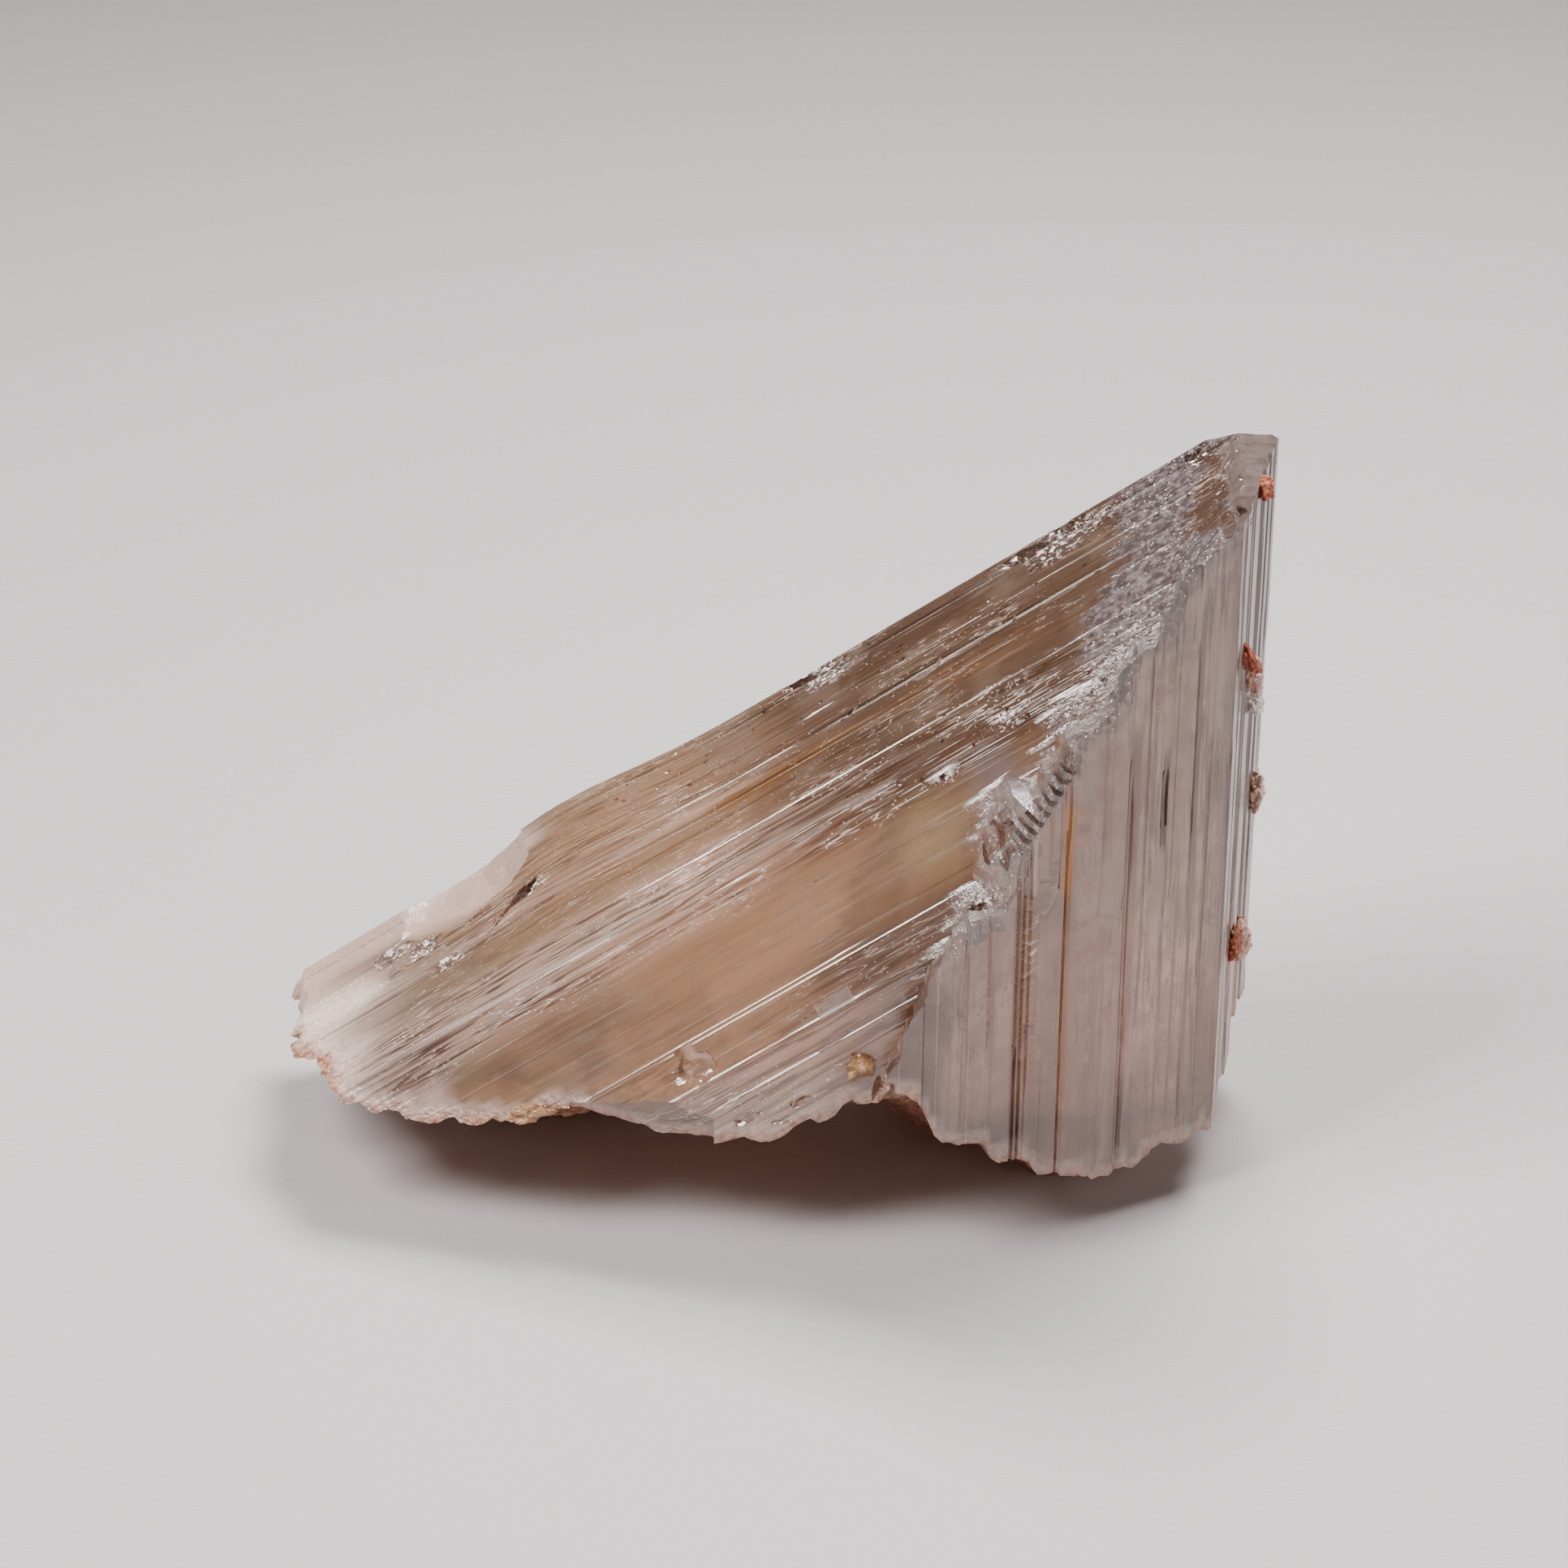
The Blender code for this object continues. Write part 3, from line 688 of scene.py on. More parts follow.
# Grains strewn over a surface: the crusts and, as cutters, the pits in two bands of the left arm.
def strewnTree():
    tree = Recipe("strewn grains", ("Grain Density", "Smallest", "Largest", "Flatness", "Keep Base", "Seed"))
    base = tree.given("Geometry")
    spots = tree.add("GeometryNodeDistributePointsOnFaces", {"distribute_method": "RANDOM"}, {
        "Mesh": base, "Density": tree.given("Grain Density"), "Seed": tree.given("Seed")}, "Points")
    grain = tree.add("GeometryNodeMeshIcoSphere", None, {"Radius": 1.0, "Subdivisions": 1})
    turn = tree.add("FunctionNodeRandomValue", {"data_type": "FLOAT_VECTOR"}, {
        0: (0.0, 0.0, 0.0), 1: (6.28, 6.28, 6.28), "Seed": tree.given("Seed")}, 0)
    size = tree.add("FunctionNodeRandomValue", {"data_type": "FLOAT"}, {
        2: tree.given("Smallest"), 3: tree.given("Largest"), "Seed": tree.given("Seed") + 1.0}, 1) * mm
    scale = tree.vector(size, size * tree.given("Flatness"), size * 0.8)
    strewn = tree.add("GeometryNodeInstanceOnPoints", None, {
        "Points": spots, "Instance": grain, "Rotation": turn, "Scale": scale})
    hidden = tree.add("GeometryNodeDeleteGeometry", None, {
        "Geometry": base, "Selection": tree.given("Keep Base").math("LESS_THAN", 0.5)})
    joined = tree.nodes.new("GeometryNodeJoinGeometry")
    tree.links.new(hidden.socket, joined.inputs[0])
    tree.links.new(strewn.socket, joined.inputs[0])
    tree.end(Wire(tree, joined.outputs[0]))
    return tree


grainTree = strewnTree()


def pitBlock(source, material):
    mesh = source.data
    points = np.array([face.center[:] for face in mesh.polygons]) / mm
    across, gap, along = acrossOf(points, leftArm)
    facing = np.array([face.normal[:] for face in mesh.polygons]) @ np.array(leftFrame.col[0].xyz)
    keep = np.zeros(len(points), bool)
    for low, high, begin, finish, least in pits["bands"]:
        inside = (across > low) & (across < high) & (along > begin) & (along < finish)
        keep |= inside & (gap < pits["skin"]) & (facing > least)
    builder = bmesh.new()
    builder.from_mesh(mesh)
    builder.faces.ensure_lookup_table()
    bmesh.ops.delete(builder, geom=[f for f, kept in zip(builder.faces, keep) if not kept], context="FACES")
    area = sum(face.calc_area() for face in builder.faces)
    patch = bpy.data.meshes.new("pits")
    builder.to_mesh(patch)
    builder.free()
    made = placed("pits", patch)
    values = {"Grain Density": pits["count"] / area, "Smallest": pits["smallest"], "Largest": pits["largest"],
              "Flatness": pits["flatness"], "Keep Base": 0.0, "Seed": pits["seed"]}
    grainTree.apply(made, values, material)
    print("pits", len(made.data.polygons), int(keep.sum()))
    return made


cerussite = Finish("cerussite")


def buildTwin(material):
    lines = growthLineTree()
    values = {"Line Width": growthLines["lineWidth"], "Line Depth": growthLines["lineDepth"],
              "Line Length": growthLines["lineLength"], "Seed": growthLines["seed"]}
    left = crystalSkin("twinCrystals", leftArm)
    right = crystalSkin("rightCrystal", rightArm)
    for arm in (left, right):
        lines.apply(arm, values, material)
    print("crystals grown", len(left.data.polygons), len(right.data.polygons))
    carve(left, seamBlock("seamRight", 1, 0.0))
    carve(right, seamBlock("seamLeft", -1, seam["overlap"]))
    carve(left, right, "UNION")
    print("arms joined", len(left.data.polygons))
    carve(left, undersideBlock())
    for end in broken["ends"]:
        carve(left, endBlock(*end))
    for number, (along, outward, back, size) in enumerate(chips["left"]):
        place = leftFrame @ Vector((outward, back, along))
        carve(left, lumpBlock("chip", place, size, 20.0 + number, turn=(0.0, -rise, 0.0)))
    for number, (place, size, dip, spin) in enumerate(chips["breaks"]):
        turn = (0.0, math.radians(dip), math.radians(spin))
        rough = min(0.25, 0.35 / size[0])
        carve(left, lumpBlock("break", place, size, 30.0 + number, rough=rough, turn=turn))
    first, last, count, size, dip = chips["slots"]
    for number in range(count):
        place = Vector(first).lerp(Vector(last), number / (count - 1))
        carve(left, slotBlock(place, size, math.radians(dip)))
    point, facing, size, depth = chips["lowBevel"]
    carve(left, endBlock("lowBevel", point, facing, size, 0.5, depth, 0.05, 2.0))
    carve(left, pitBlock(left, material))
    print("twin broken to shape", len(left.data.polygons))
    return left


# Nearest place on an arm's section, for each point: (across, distance off it).
def acrossOf(points, arm):
    turn = np.array(arm["frame"].to_3x3())
    local = points @ turn
    best = np.full(len(points), 1e9)
    across = np.zeros(len(points))
    total = 0.0
    section = arm["section"]
    for index, corner in enumerate(section):
        start = np.array(corner)
        side = np.array(section[(index + 1) % len(section)]) - start
        length = float(np.hypot(*side))
        share = np.clip((local[:, :2] - start) @ side / length ** 2, 0.0, 1.0)
        gap = np.hypot(*(local[:, :2] - start - share[:, None] * side).T)
        closer = gap < best
        best = np.where(closer, gap, best)
        across = np.where(closer, total + share * length, across)
        total += length
    return across, best, local[:, 2]


def step(values, low, high):
    share = np.clip((values - low) / (high - low), 0.0, 1.0)
    return share * share * (3.0 - 2.0 * share)


def bulges(points, scale, seed):  # slow noise for the masks' edges
    return np.array([noise.noise(Vector(point) * scale + Vector((seed, 0.0, 0.0))) for point in points])


# Where each mask begins and ends, in millimetres.
marks = {
    "crown": (35.7, 21.4, 17.0),  # the cut-off top: above, right of, and the place across that it takes its colour from
    "broken": (0.55, 0.95),  # off the grown faces
    "frostLower": (14.0, 6.0, 4.0),  # across the arm, over how much, and how much further the frost reaches there
    "frostEnd": (-17.0, -12.0),
    "bevelAcross": (24.0, 26.5),
    "bevelEnd": (-4.5, -2.5),
    "bevelShare": 0.8,
    "leftOnly": 3.0,  # no frost further than this past the seam
    "spark": (0.5, 1.3),  # shares of a spark's radius
    "glass": (-0.25, 0.3),
    "glassPast": 0.4,
    "rim": (0.15, 0.9),  # above the broken underside
}


# What the material needs to know about each point: which arm, where across it, and how it broke.
def markTwin(made):
    mesh = made.data
    for name in ("across", "along", "ridge", "outward"):
        if name in mesh.attributes:
            mesh.attributes.remove(mesh.attributes[name])
    count = len(mesh.vertices)
    points = np.empty(count * 3, np.float32)
    mesh.vertices.foreach_get("co", points)
    points = points.reshape(-1, 3) / mm
    leftAcross, leftGap, leftAlong = acrossOf(points, leftArm)
    rightAcross, rightGap, rightAlong = acrossOf(points, rightArm)
    offset = (points - np.array(seam["foot"])) @ np.array(seamAcross)
    above, beyond, crownAcross = marks["crown"]
    crown = (points[:, 2] > above) & (points[:, 0] > beyond)
    onRight = (rightGap < leftGap) | crown
    natural = np.minimum(leftGap, rightGap)
    wave = bulges(points, 0.35, 3.0)
    carry(mesh, "standing", onRight)
    across = np.where(crown, crownAcross, np.where(onRight, rightAcross, leftAcross))
    carry(mesh, "across", across)
    ridges = [np.interp(across, *np.array(arm["bands"]).T, right=0.3) for arm in (leftArm, rightArm)]
    carry(mesh, "ridge", np.where(onRight, ridges[1], ridges[0]))
    carry(mesh, "along", np.where(onRight, rightAlong, leftAlong))
    carry(mesh, "broken", step(natural, *marks["broken"]))
    middle, spread, further = marks["frostLower"]
    lower = step(middle - leftAcross, 0.0, spread)
    frost = 1.0 - step(leftAlong + wave * 3.0 - lower * further, *marks["frostEnd"])
    bevel = step(leftAcross, *marks["bevelAcross"]) * (1.0 - step(leftAlong + wave * 2.0, *marks["bevelEnd"]))
    carry(mesh, "frost", np.maximum(frost, bevel * marks["bevelShare"]) * (offset < marks["leftOnly"]))
    spark = np.zeros(count)
    inner, outer = marks["spark"]
    for place, radius in sparks:
        gap = np.sqrt(((points - np.array(place)) ** 2).sum(axis=1))
        spark = np.maximum(spark, 1.0 - step(gap, radius * inner, radius * outer))
    carry(mesh, "spark", spark)
    up = (points - np.array(seam["foot"])) @ np.array(seamUp)
    front = np.interp(up, *np.array([corner[:2] for corner in seam["path"]]).T)
    width = np.interp(up, *np.array(seam["glass"]).T)
    left = front - offset + bulges(points, 1.1, 8.0) * 0.9
    zone = (1.0 - step(left - width, *marks["glass"])) * (width > 0.05)
    carry(mesh, "glass", zone * (offset < front + marks["glassPast"]) * (~crown))
    underside = np.array([max(0.0, roughHeight(x, y)) for x, y in points[:, :2]])
    rim = 1.0 - step(points[:, 2] - underside, *marks["rim"])
    carry(mesh, "rim", rim)


def smoothFlats(mesh):
    builder = bmesh.new()
    builder.from_mesh(mesh)
    limit = math.radians(twin["sharpAngle"])
    for face in builder.faces:
        face.smooth = True
    for edge in builder.edges:
        edge.smooth = edge.is_manifold and edge.calc_face_angle(0.0) < limit
    builder.to_mesh(mesh)
    builder.free()


def settle(made):  # from the frame of the sections to the foot's middle
    made.data.transform(Matrix.Translation((-footMiddle[0] * mm, -footMiddle[1] * mm, 0.0)))


crystalLook = {
    "ior": 1.95,
    "transmission": 0.7,
    "frostTransmission": 0.2,
    "frostRoughness": 0.38,
    "absorption": (0.84, 0.56, 0.34),
    "density": 60.0,
    "tones": {
        "pale": (0.92, 0.72, 0.6), "light": (0.78, 0.52, 0.4), "rose": (0.76, 0.54, 0.45),
        "tan": (0.62, 0.39, 0.25), "golden": (0.48, 0.3, 0.18), "honey": (0.28, 0.14, 0.06),
        "brown": (0.21, 0.12, 0.075), "dark": (0.12, 0.06, 0.035), "grey": (0.46, 0.36, 0.34),
        "greyLight": (0.6, 0.48, 0.44), "greyDark": (0.2, 0.14, 0.12), "dim": (0.27, 0.19, 0.15),
    },
    # tones across each arm, as (millimetres across it, tone), near its lower end, its middle and its top
    "left": (
        ((0.0, "light"), (9.0, "light"), (13.0, "rose"), (18.0, "pale"), (22.0, "pale"), (25.0, "rose"), (28.0, "tan")),
        ((0.0, "light"), (3.6, "pale"), (5.2, "golden"), (6.0, "light"), (6.8, "tan"), (9.2, "tan"), (12.4, "golden"),
         (14.2, "light"), (15.2, "pale"), (16.0, "light"), (17.2, "light"), (18.0, "golden"), (19.6, "golden"),
         (20.5, "light"), (21.2, "tan"), (28.0, "golden")),
        ((0.0, "dim"), (5.2, "brown"), (6.2, "dim"), (8.3, "dim"), (9.2, "golden"), (11.5, "tan"), (12.8, "golden"),
         (14.0, "brown"), (15.8, "dim"), (17.2, "brown"), (20.0, "brown"), (22.0, "brown"), (24.6, "brown"),
         (26.0, "dark"), (28.0, "brown")),
    ),
    # the greys on the standing arm's face are painted reflection: they stand in for the grey sheen its front face
    # reflects
    "right": (
        ((0.0, "brown"), (4.0, "greyDark"), (7.4, "dim"), (8.4, "brown"), (11.0, "brown"), (13.0, "greyDark"),
         (14.8, "dark"), (15.8, "dim"), (17.6, "golden"), (19.4, "dim"), (20.2, "honey"), (22.8, "honey"),
         (24.6, "rose"), (31.0, "light")),
        ((0.0, "dim"), (3.6, "greyDark"), (6.2, "grey"), (8.2, "grey"), (9.2, "dim"), (11.0, "dim"), (12.6, "grey"),
         (14.2, "grey"), (14.9, "greyDark"), (15.6, "greyLight"), (19.8, "greyLight"), (20.6, "greyDark"),
         (24.0, "greyDark"), (26.5, "dim"), (31.0, "dim")),
        ((0.0, "dim"), (8.4, "dim"), (10.0, "grey"), (12.4, "grey"), (13.2, "dim"), (14.6, "greyLight"), (17.0, "grey"),
         (19.6, "greyLight"), (20.5, "dim"), (24.0, "greyDark"), (26.0, "grey"), (28.0, "dim"), (31.0, "dim")),
    ),
    "leftEnds": ((-17.0, -8.0), (4.0, 16.0)),
    "rightEnds": ((8.0, 15.0), (19.0, 28.0)),
    "bandSpan": 34.0,
    # lines drawn along the right arm, as (across, half width, colour, from, to), and what widens them all
    "drawnLines": (
        (8.65, 0.16, (0.06, 0.025, 0.012), 2.0, 22.0), (9.05, 0.06, (0.1, 0.045, 0.02), 2.0, 20.0),
        (11.3, 0.12, (0.2, 0.08, 0.015), 2.0, 22.6), (11.2, 0.2, (0.5, 0.2, 0.03), 19.0, 24.0),
        (10.15, 0.1, (0.42, 0.2, 0.06), 18.6, 24.0), (14.9, 0.22, (0.18, 0.1, 0.07), 2.0, 27.0),
        (15.6, 0.05, (0.12, 0.06, 0.04), 12.0, 31.0), (16.65, 0.14, (0.05, 0.025, 0.015), 20.2, 25.4),
        (16.9, 0.07, (0.16, 0.09, 0.06), 6.0, 20.0), (7.2, 0.08, (0.16, 0.09, 0.06), 3.0, 16.0),
        (17.7, 0.06, (0.14, 0.08, 0.05), 3.0, 17.0), (18.5, 0.08, (0.16, 0.09, 0.06), 5.0, 33.0),
        (19.3, 0.07, (0.18, 0.1, 0.06), 3.0, 24.0), (5.9, 0.06, (0.14, 0.08, 0.05), 3.0, 17.0)),
    "lineSpread": 1.5,
    "plate": (11.5, 14.6, 17.3),  # across from, to, and where its ragged lower edge lies along the arm
    "tongue": (10.02, 0.78, 1.3, 18.2, 25.0),  # middle, half width, how round its end is, lower and upper end
    "browning": (4.0, 22.0, 0.4),  # the left arm grows browner between these places, by this share
    # stains in the left arm: (place, radius, colour, strength)
    "smudges": (((-11.3, -5.9, 10.6), 0.7, (0.3, 0.17, 0.14), 0.5), ((-13.7, -6.3, 8.6), 0.8, (0.3, 0.17, 0.14), 0.5),
                ((-15.8, -0.5, 11.6), 0.6, (0.34, 0.2, 0.16), 0.5), ((10.0, -9.4, 7.2), 0.9, (0.12, 0.07, 0.05), 0.7),
                ((-23.8, 7.6, 7.7), 0.8, (0.3, 0.16, 0.1), 0.5), ((3.6, -8.7, 10.2), 1.5, (0.2, 0.08, 0.03), 0.7),
                ((10.0, -6.0, 24.5), 1.3, (0.32, 0.33, 0.42), 0.6), ((7.0, -5.0, 20.8), 1.8, (0.72, 0.55, 0.3), 0.5)),
}


def paintCerussite(look):
    place = look.place.plus((footMiddle[0], footMiddle[1], 0.0))
    standing, ridge = look.grain("standing"), look.grain("ridge")
    across, along = look.grain("across"), look.grain("along")
    brokenMask, frost, rim, glass, spark = map(look.grain, ("broken", "frost", "rim", "glass", "spark"))
    lying = 1.0 - standing

    def lined(width, length, detail, shift):  # noise drawn out along each arm, in the flat of its faces
        spot = look.vector(across / width + shift, along / length, standing * 40.0 + shift)
        return look.noise(spot, 1.0, detail, 0.65)

    def hairs(width, length, shift, half):  # thin lines where that noise crosses its middle
        return 1.0 - (lined(width, length, 2.0, shift) - 0.5).size().step(half * 0.4, half)

    wide = lined(1.3, 14.0, 3.0, 3.0)
    fine = lined(0.32, 9.0, 3.0, 9.0)
    patch = look.noise(look.vector(across * 0.3, along * 0.12, standing * 9.0), 1.0, 3.0, 0.6)
    clouds = look.noise(place, 0.2, 3.0, 0.55)
    veins = look.noise(place.plus((3.0, 1.0, 7.0)), 0.9, 5.0, 0.65)
    veinLines = 1.0 - (veins - 0.5).size().step(0.004, 0.02)
    span = across / crystalLook["bandSpan"]
    sides = []
    for side in ("left", "right"):
        rows = []
        for bands in crystalLook[side]:
            stops = tuple((u / crystalLook["bandSpan"], crystalLook["tones"][tone]) for u, tone in bands)
            rows.append(look.add("ShaderNodeValToRGB", {"stops": stops}, {"Fac": span}, "Color"))
        (low, middle), (upper, top) = crystalLook[side + "Ends"]
        wavy = along + (clouds - 0.5) * 9.0
        whole = look.mix(wavy.step(low, middle), rows[0], rows[1])
        sides.append(look.mix(wavy.step(upper, top), whole, rows[2]))
    left, right = sides
    rust = across.between(18.6, 20.4, 0.3) * along.between(0.0, 24.0, 4.0) * wide.step(0.46, 0.56)
    left = look.mix(rust * 0.8, left, (0.4, 0.19, 0.06))
    left = look.mix(patch.step(0.52, 0.7) * 0.45, left, (0.36, 0.23, 0.17))
    front = 1.0 - across.step(20.0, 20.6)
    right = look.mix(veins.step(0.48, 0.6) * front * 0.55, right, (0.17, 0.11, 0.09))
    netted = veinLines * front * (1.0 - along.step(14.0, 24.0) * 0.7)
    right = look.mix(netted * 0.8, right, (0.08, 0.04, 0.025))
    # below the ragged edge of the plate the face is corroded
    plateLow, plateHigh, plateEnd = crystalLook["plate"]
    onPlate = across.between(plateLow, plateHigh, 0.05)
    ragged = along + (veins - 0.5) * 2.5
    worn = onPlate * (1.0 - ragged.step(plateEnd - 0.1, plateEnd + 0.1))
    right = look.mix(worn * (0.35 + veins.step(0.42, 0.58) * 0.4), right, (0.26, 0.15, 0.1))
    # painted shade line along the plate's ragged lower edge
    plateEdgeShade = onPlate * (1.0 - (ragged - plateEnd).size().step(0.05, 0.16))
    # the tongue of growth with its rounded lower edge
    middle, half, bow, lowEnd, highEnd = crystalLook["tongue"]
    beyond = along - (((across - middle) / half) ** 2 * bow + lowEnd)
    inside = across.between(middle - 0.74, middle + 0.74, 0.04)
    tongue = inside * beyond.step(0.0, 0.1) * (1.0 - along.step(highEnd, highEnd + 1.0))
    right = look.mix(tongue * 0.55, right, (0.62, 0.52, 0.46))
    tongueEdgeShade = across.between(middle - 0.82, middle + 0.82, 0.04) * (1.0 - beyond.size().step(0.08, 0.2))
    # painted shade: a dark line along the lower edges of the plate and the tongue, where they step out of the face
    right = look.mix((plateEdgeShade * 0.6 + tongueEdgeShade * 0.9).clamped(), right, (0.12, 0.06, 0.035))
    for line, half, colour, low, high in crystalLook["drawnLines"]:
        half = half * crystalLook["lineSpread"]
        stain = across.between(line - half, line + half, 0.035) * along.between(low, high, 0.7)
        right = look.mix(stain * 0.95, right, colour)
    begin, finish, share = crystalLook["browning"]
    left = look.mix(along.step(begin, finish) * share, left, (0.15, 0.09, 0.055))
    base = look.mix(standing, left, right)
    # darker and paler lines of growth, strongest where the faces are ridged
    depth = (0.12 + ridge * 0.95).clamped()
    shade = ((fine - 0.5) * 3.4 + (wide - 0.5) * 2.4) * depth
    base = look.mix(shade.step(0.15, 0.8) * 0.45, base, (0.86, 0.62, 0.42))
    base = look.mix((0.0 - shade).step(0.1, 0.8) * 0.75, base, (0.13, 0.055, 0.02))
    tall = ((wide - 0.5) * 3.0 + (patch - 0.5) * 2.0) * standing
    base = look.mix(tall.step(0.05, 0.8) * 0.5, base, (0.5, 0.42, 0.4))
    base = look.mix((0.0 - tall).step(0.05, 0.8) * 0.5, base, (0.2, 0.13, 0.09))
    dark = hairs(0.5, 12.0, 21.0, 0.05) * wide.step(0.36, 0.56)
    drawn = (depth * 0.9 + standing * across.step(11.0, 15.0) * 0.45).clamped()
    base = look.mix(dark * drawn, base, (0.1, 0.045, 0.02))
    base = look.mix(clouds.step(0.5, 0.7) * 0.25, base, (0.6, 0.46, 0.36))
    for spot, radius, colour, strength in crystalLook["smudges"]:
        smudge = (place.near(spot, radius, radius * 0.8) * (0.5 + veins)).clamped()
        base = look.mix(smudge * strength, base, colour)
    grit = look.noise(place, 2.6, 3.0, 0.75)
    flap = 1.0 - place.dot((0.0, 0.0, 1.0)).step(23.6, 24.6)
    shards = look.mix(flap, (0.13, 0.1, 0.105), (0.36, 0.29, 0.27))
    base = look.mix(glass * 0.9, base, look.mix(grit.step(0.44, 0.62), shards, (0.5, 0.43, 0.43)))
    # darker ground where the painted glint spots lie
    base = look.mix(spark * 0.6, base, (0.13, 0.09, 0.08))
    sugar = look.noise(place, 3.2, 3.0, 0.7)
    sugarStops = ((0.3, (0.66, 0.42, 0.34)), (0.48, (0.86, 0.66, 0.58)), (0.7, (0.92, 0.84, 0.8)))
    sugarColour = look.add("ShaderNodeValToRGB", {"stops": sugarStops}, {"Fac": sugar}, "Color")
    sugarColour = look.mix(across.step(22.5, 24.5) * lying * 0.75, sugarColour, (0.52, 0.33, 0.26))
    rimColour = look.mix(sugar.step(0.4, 0.6), (0.22, 0.07, 0.03), (0.55, 0.28, 0.18))
    # painted highlights: thin broken glint lines on the ridged faces, glint specks there and on the glassy zone, and
    # glint specks where the crystal is shattered
    cells = look.add("ShaderNodeTexVoronoi", None, {"Vector": place, "Scale": 3.2}, "Distance")
    glintSpecks = (1.0 - cells.step(0.12, 0.22)) * patch.step(0.4, 0.55)
    glintRuns = hairs(0.5, 5.0, 77.0, 0.016) * patch.step(0.46, 0.6)
    paintedShardGlints = spark * sugar.step(0.54, 0.6)
    paintedGlints = (glintRuns * ridge * 0.6 * lying + glintSpecks * (glass * 1.2 + ridge * lying * 0.5) + paintedShardGlints).clamped()
    paintedGlints = paintedGlints * (1.0 - frost * 0.9)
    frostMask = (frost + rim * 0.8).clamped() * 0.9
    # the frost and rim colours, turned to a painted white highlight where the glints are
    pale = look.mix(paintedGlints, look.mix(rim, sugarColour, rimColour), (1.0, 0.9, 0.84))
    hair = lined(0.07, 5.0, 1.0, 51.0)  # hairlines finer than the mesh
    height = hair * depth + (grit * (glass + spark) + sugar * frostMask) * 7.0
    bump = look.add("ShaderNodeBump", None, {"Height": height, "Strength": 0.5, "Distance": 0.03 * mm})
    roughness = (0.1 + fine.step(0.45, 0.7) * 0.2 + brokenMask * 0.1 + glass * 0.1).clamped()
    # the second shader carries both the real frost and the painted glints
    clear, frosted = (look.add("ShaderNodeBsdfPrincipled", None, {
        "Base Color": colour, "Roughness": rough, "IOR": crystalLook["ior"],
        "Transmission Weight": crystalLook[share], "Normal": bump}) for colour, rough, share in (
            (base, roughness, "transmission"), (pale, crystalLook["frostRoughness"], "frostTransmission")))
    surface = look.add("ShaderNodeMixShader", None, {0: frostMask.math("MAXIMUM", paintedGlints), 1: clear, 2: frosted})
    absorb = look.add("ShaderNodeVolumeAbsorption", None, {
        "Color": (*crystalLook["absorption"], 1.0), "Density": crystalLook["density"]})
    return look.end(surface, absorb)


paintCerussite(cerussite)
crystals = buildTwin(cerussite.material)
markTwin(crystals)
smoothFlats(crystals.data)
settle(crystals)
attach(crystals, "root")
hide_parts("cerussite_twin")
print("twin ready", len(crystals.data.polygons))

# Crusts and grains on the faces: (node, centre, half sizes, dip, seed). A node's name begins with
# the name of its slot.
crusts = (
    ("red_crust_tip", (23.2, 2.2, 36.0), (0.4, 0.6, 0.7), 0.0, 51.0),
    ("red_crust_upper", (22.5, -0.6, 28.2), (0.35, 0.5, 1.1), -22.0, 52.0),
    ("pink_crust_upper", (23.0, 1.7, 26.3), (0.5, 0.65, 1.05), 0.0, 53.0),
    ("white_crust_upper", (23.3, 3.0, 24.2), (0.4, 0.5, 0.55), 0.0, 59.0),
    ("pink_crust_side", (23.9, 6.2, 18.0), (0.42, 0.7, 1.15), 4.0, 54.0),
    ("red_crust_lower", (22.6, 1.3, 11.9), (0.35, 0.45, 1.05), 6.0, 55.0),
    ("pink_crust_lower", (23.25, 4.0, 10.6), (0.55, 0.75, 1.25), 0.0, 56.0),
    ("brown_grain_left", (-12.5, -7.4, 6.9), (1.25, 0.55, 0.55), -15.0, 57.0),
    ("brown_grain_notch", (3.6, -8.8, 10.2), (0.8, 0.45, 0.7), -30.0, 58.0),
)
crustLook = {
    # colours of a slot's grains from its hollows outwards, and how far its grains stand out
    "red_crust": (((0.3, (0.2, 0.03, 0.015)), (0.5, (0.46, 0.09, 0.03)), (0.68, (0.62, 0.3, 0.2))), 0.55, 1.0),
    "pink_crust": (((0.3, (0.5, 0.16, 0.08)), (0.46, (0.68, 0.4, 0.3)), (0.65, (0.8, 0.64, 0.54))), 0.5, 1.0),
    "white_crust": (((0.3, (0.62, 0.5, 0.45)), (0.5, (0.8, 0.74, 0.7)), (0.7, (0.9, 0.88, 0.86))), 0.3, 1.0),
    "brown_grain": (((0.3, (0.16, 0.06, 0.02)), (0.5, (0.34, 0.16, 0.06)), (0.7, (0.5, 0.3, 0.16))), 0.4, 0.5),
    "core": 0.86,  # size of the lump that the grains sit on
    "flatness": 0.8,
    "density": 9.0,  # grains to the square millimetre
    "smallest": 0.06,
    "largest": 0.17,
}


def paintCrust(name, stops, roughness):
    look = Finish(name)
    grains = look.noise(look.place, 1.6, 4.0, 0.7)
    colour = look.add("ShaderNodeValToRGB", {"stops": stops}, {"Fac": grains}, "Color")
    height = look.noise(look.place, 9.0, 2.0)
    bump = look.add("ShaderNodeBump", None, {"Height": height, "Strength": 0.6, "Distance": 0.04 * mm})
    return look.end(look.add("ShaderNodeBsdfPrincipled", None, {
        "Base Color": colour, "Roughness": roughness, "IOR": 1.6, "Transmission Weight": 0.15, "Normal": bump}))


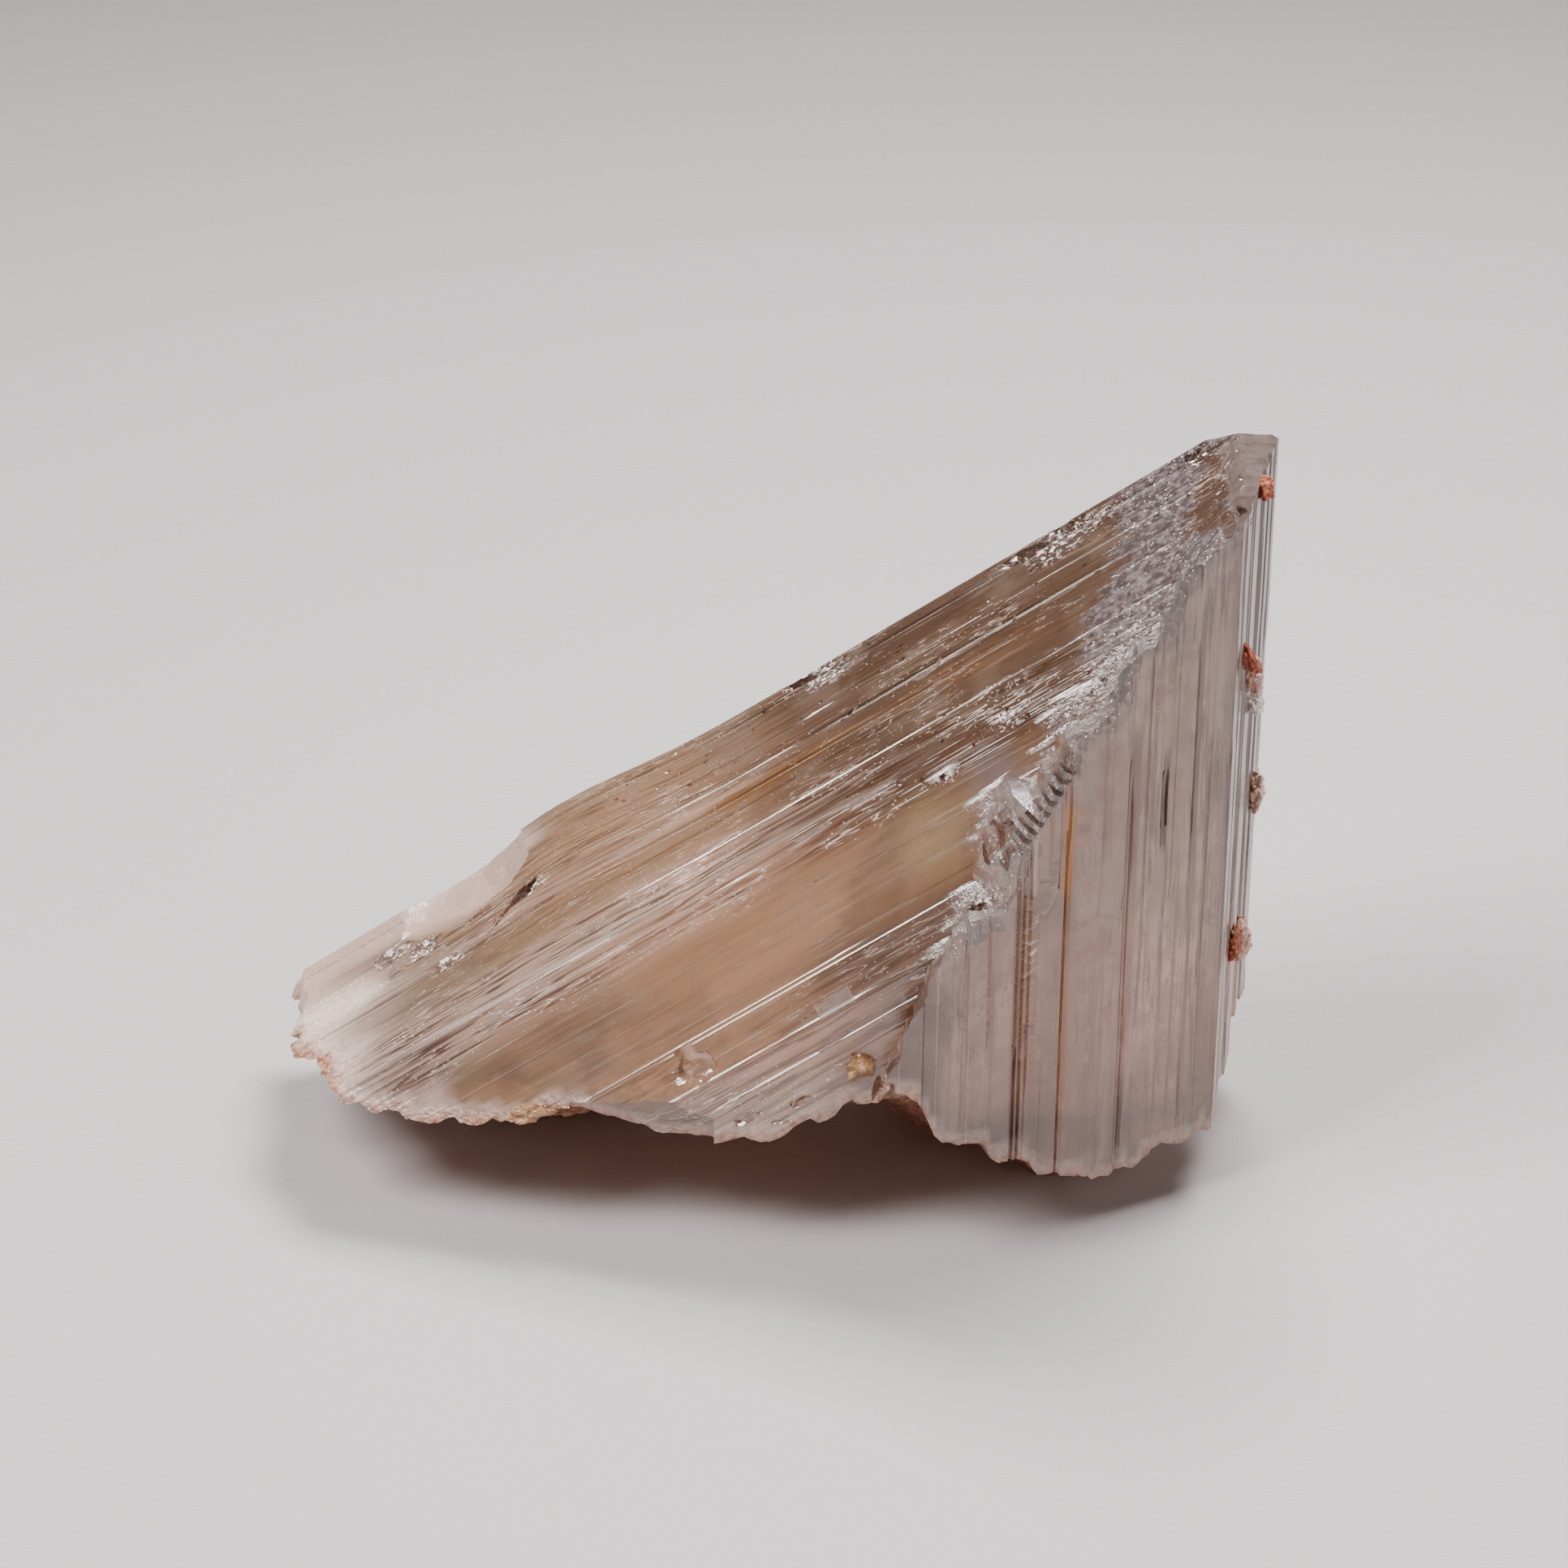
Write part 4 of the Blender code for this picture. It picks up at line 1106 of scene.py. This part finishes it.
crustPaints = {}
for slot in ("red_crust", "pink_crust", "white_crust", "brown_grain"):
    stops, roughness, _ = crustLook[slot]
    crustPaints[slot] = paintCrust(slot, stops, roughness)
for node, centre, size, dip, seed in crusts:
    slot = "_".join(node.split("_")[:2])
    share = crustLook[slot][2]
    crust = lumpBlock("grains_" + node, centre, [side * crustLook["core"] for side in size], seed, 3, 0.3,
                      (0.0, math.radians(dip), 0.0))
    grainTree.apply(crust, {
        "Grain Density": crustLook["density"] / mm ** 2, "Smallest": crustLook["smallest"] * share,
        "Largest": crustLook["largest"] * share, "Flatness": crustLook["flatness"], "Keep Base": 1.0, "Seed": seed},
        crustPaints[slot])
    settle(crust)
    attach(crust, "root")
    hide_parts(node)
print("crusts grown")

# Floor and light.
stage = {
    "floorSize": 2.4,
    "floorColour": (0.42, 0.395, 0.4),
    "world": (0.5, 0.49, 0.51),
    "worldStrength": 0.14,
}
floorBuilder = bmesh.new()
bmesh.ops.create_grid(floorBuilder, x_segments=1, y_segments=1, size=stage["floorSize"] / mm)
floor = addPiece("floor", floorBuilder)
floorLook = Finish("floorPaint")
floorShade = floorLook.noise(floorLook.place, 0.004, 2.0)
floorColour = floorLook.mix(floorShade * 0.1, stage["floorColour"], (0.38, 0.355, 0.36))
floor.data.materials.append(floorLook.end(floorLook.add("ShaderNodeBsdfPrincipled", None, {
    "Base Color": floorColour, "Roughness": 0.6})))

lights = (
    # name, place (mm), aim (mm), size (mm), power, colour
    ("key", (-130.0, -90.0, 220.0), (0.0, 0.0, 12.0), (120.0, 120.0), 1.3, (1.0, 0.98, 0.96)),
    ("back", (60.0, 100.0, 240.0), (0.0, 20.0, 10.0), (150.0, 90.0), 1.6, (1.0, 0.97, 0.96)),
    ("side", (230.0, -110.0, 120.0), (5.0, 0.0, 18.0), (90.0, 180.0), 0.22, (1.0, 0.96, 0.95)),
)
for name, place, aim, size, power, colour in lights:
    lamp = bpy.data.lights.new(name, "AREA")
    lamp.shape = "RECTANGLE"
    lamp.size, lamp.size_y = size[0] * mm, size[1] * mm
    lamp.energy = power
    lamp.color = colour
    holder = bpy.data.objects.new(name, lamp)
    holder.location = Vector(place) * mm
    holder.rotation_euler = (Vector(aim) - Vector(place)).to_track_quat("-Z", "Y").to_euler()
    scene.collection.objects.link(holder)
world = bpy.data.worlds.new("studio")
world.use_nodes = True
world.node_tree.nodes["Background"].inputs["Color"].default_value = (*stage["world"], 1.0)
world.node_tree.nodes["Background"].inputs["Strength"].default_value = stage["worldStrength"]
scene.world = world
print("stage and light set")
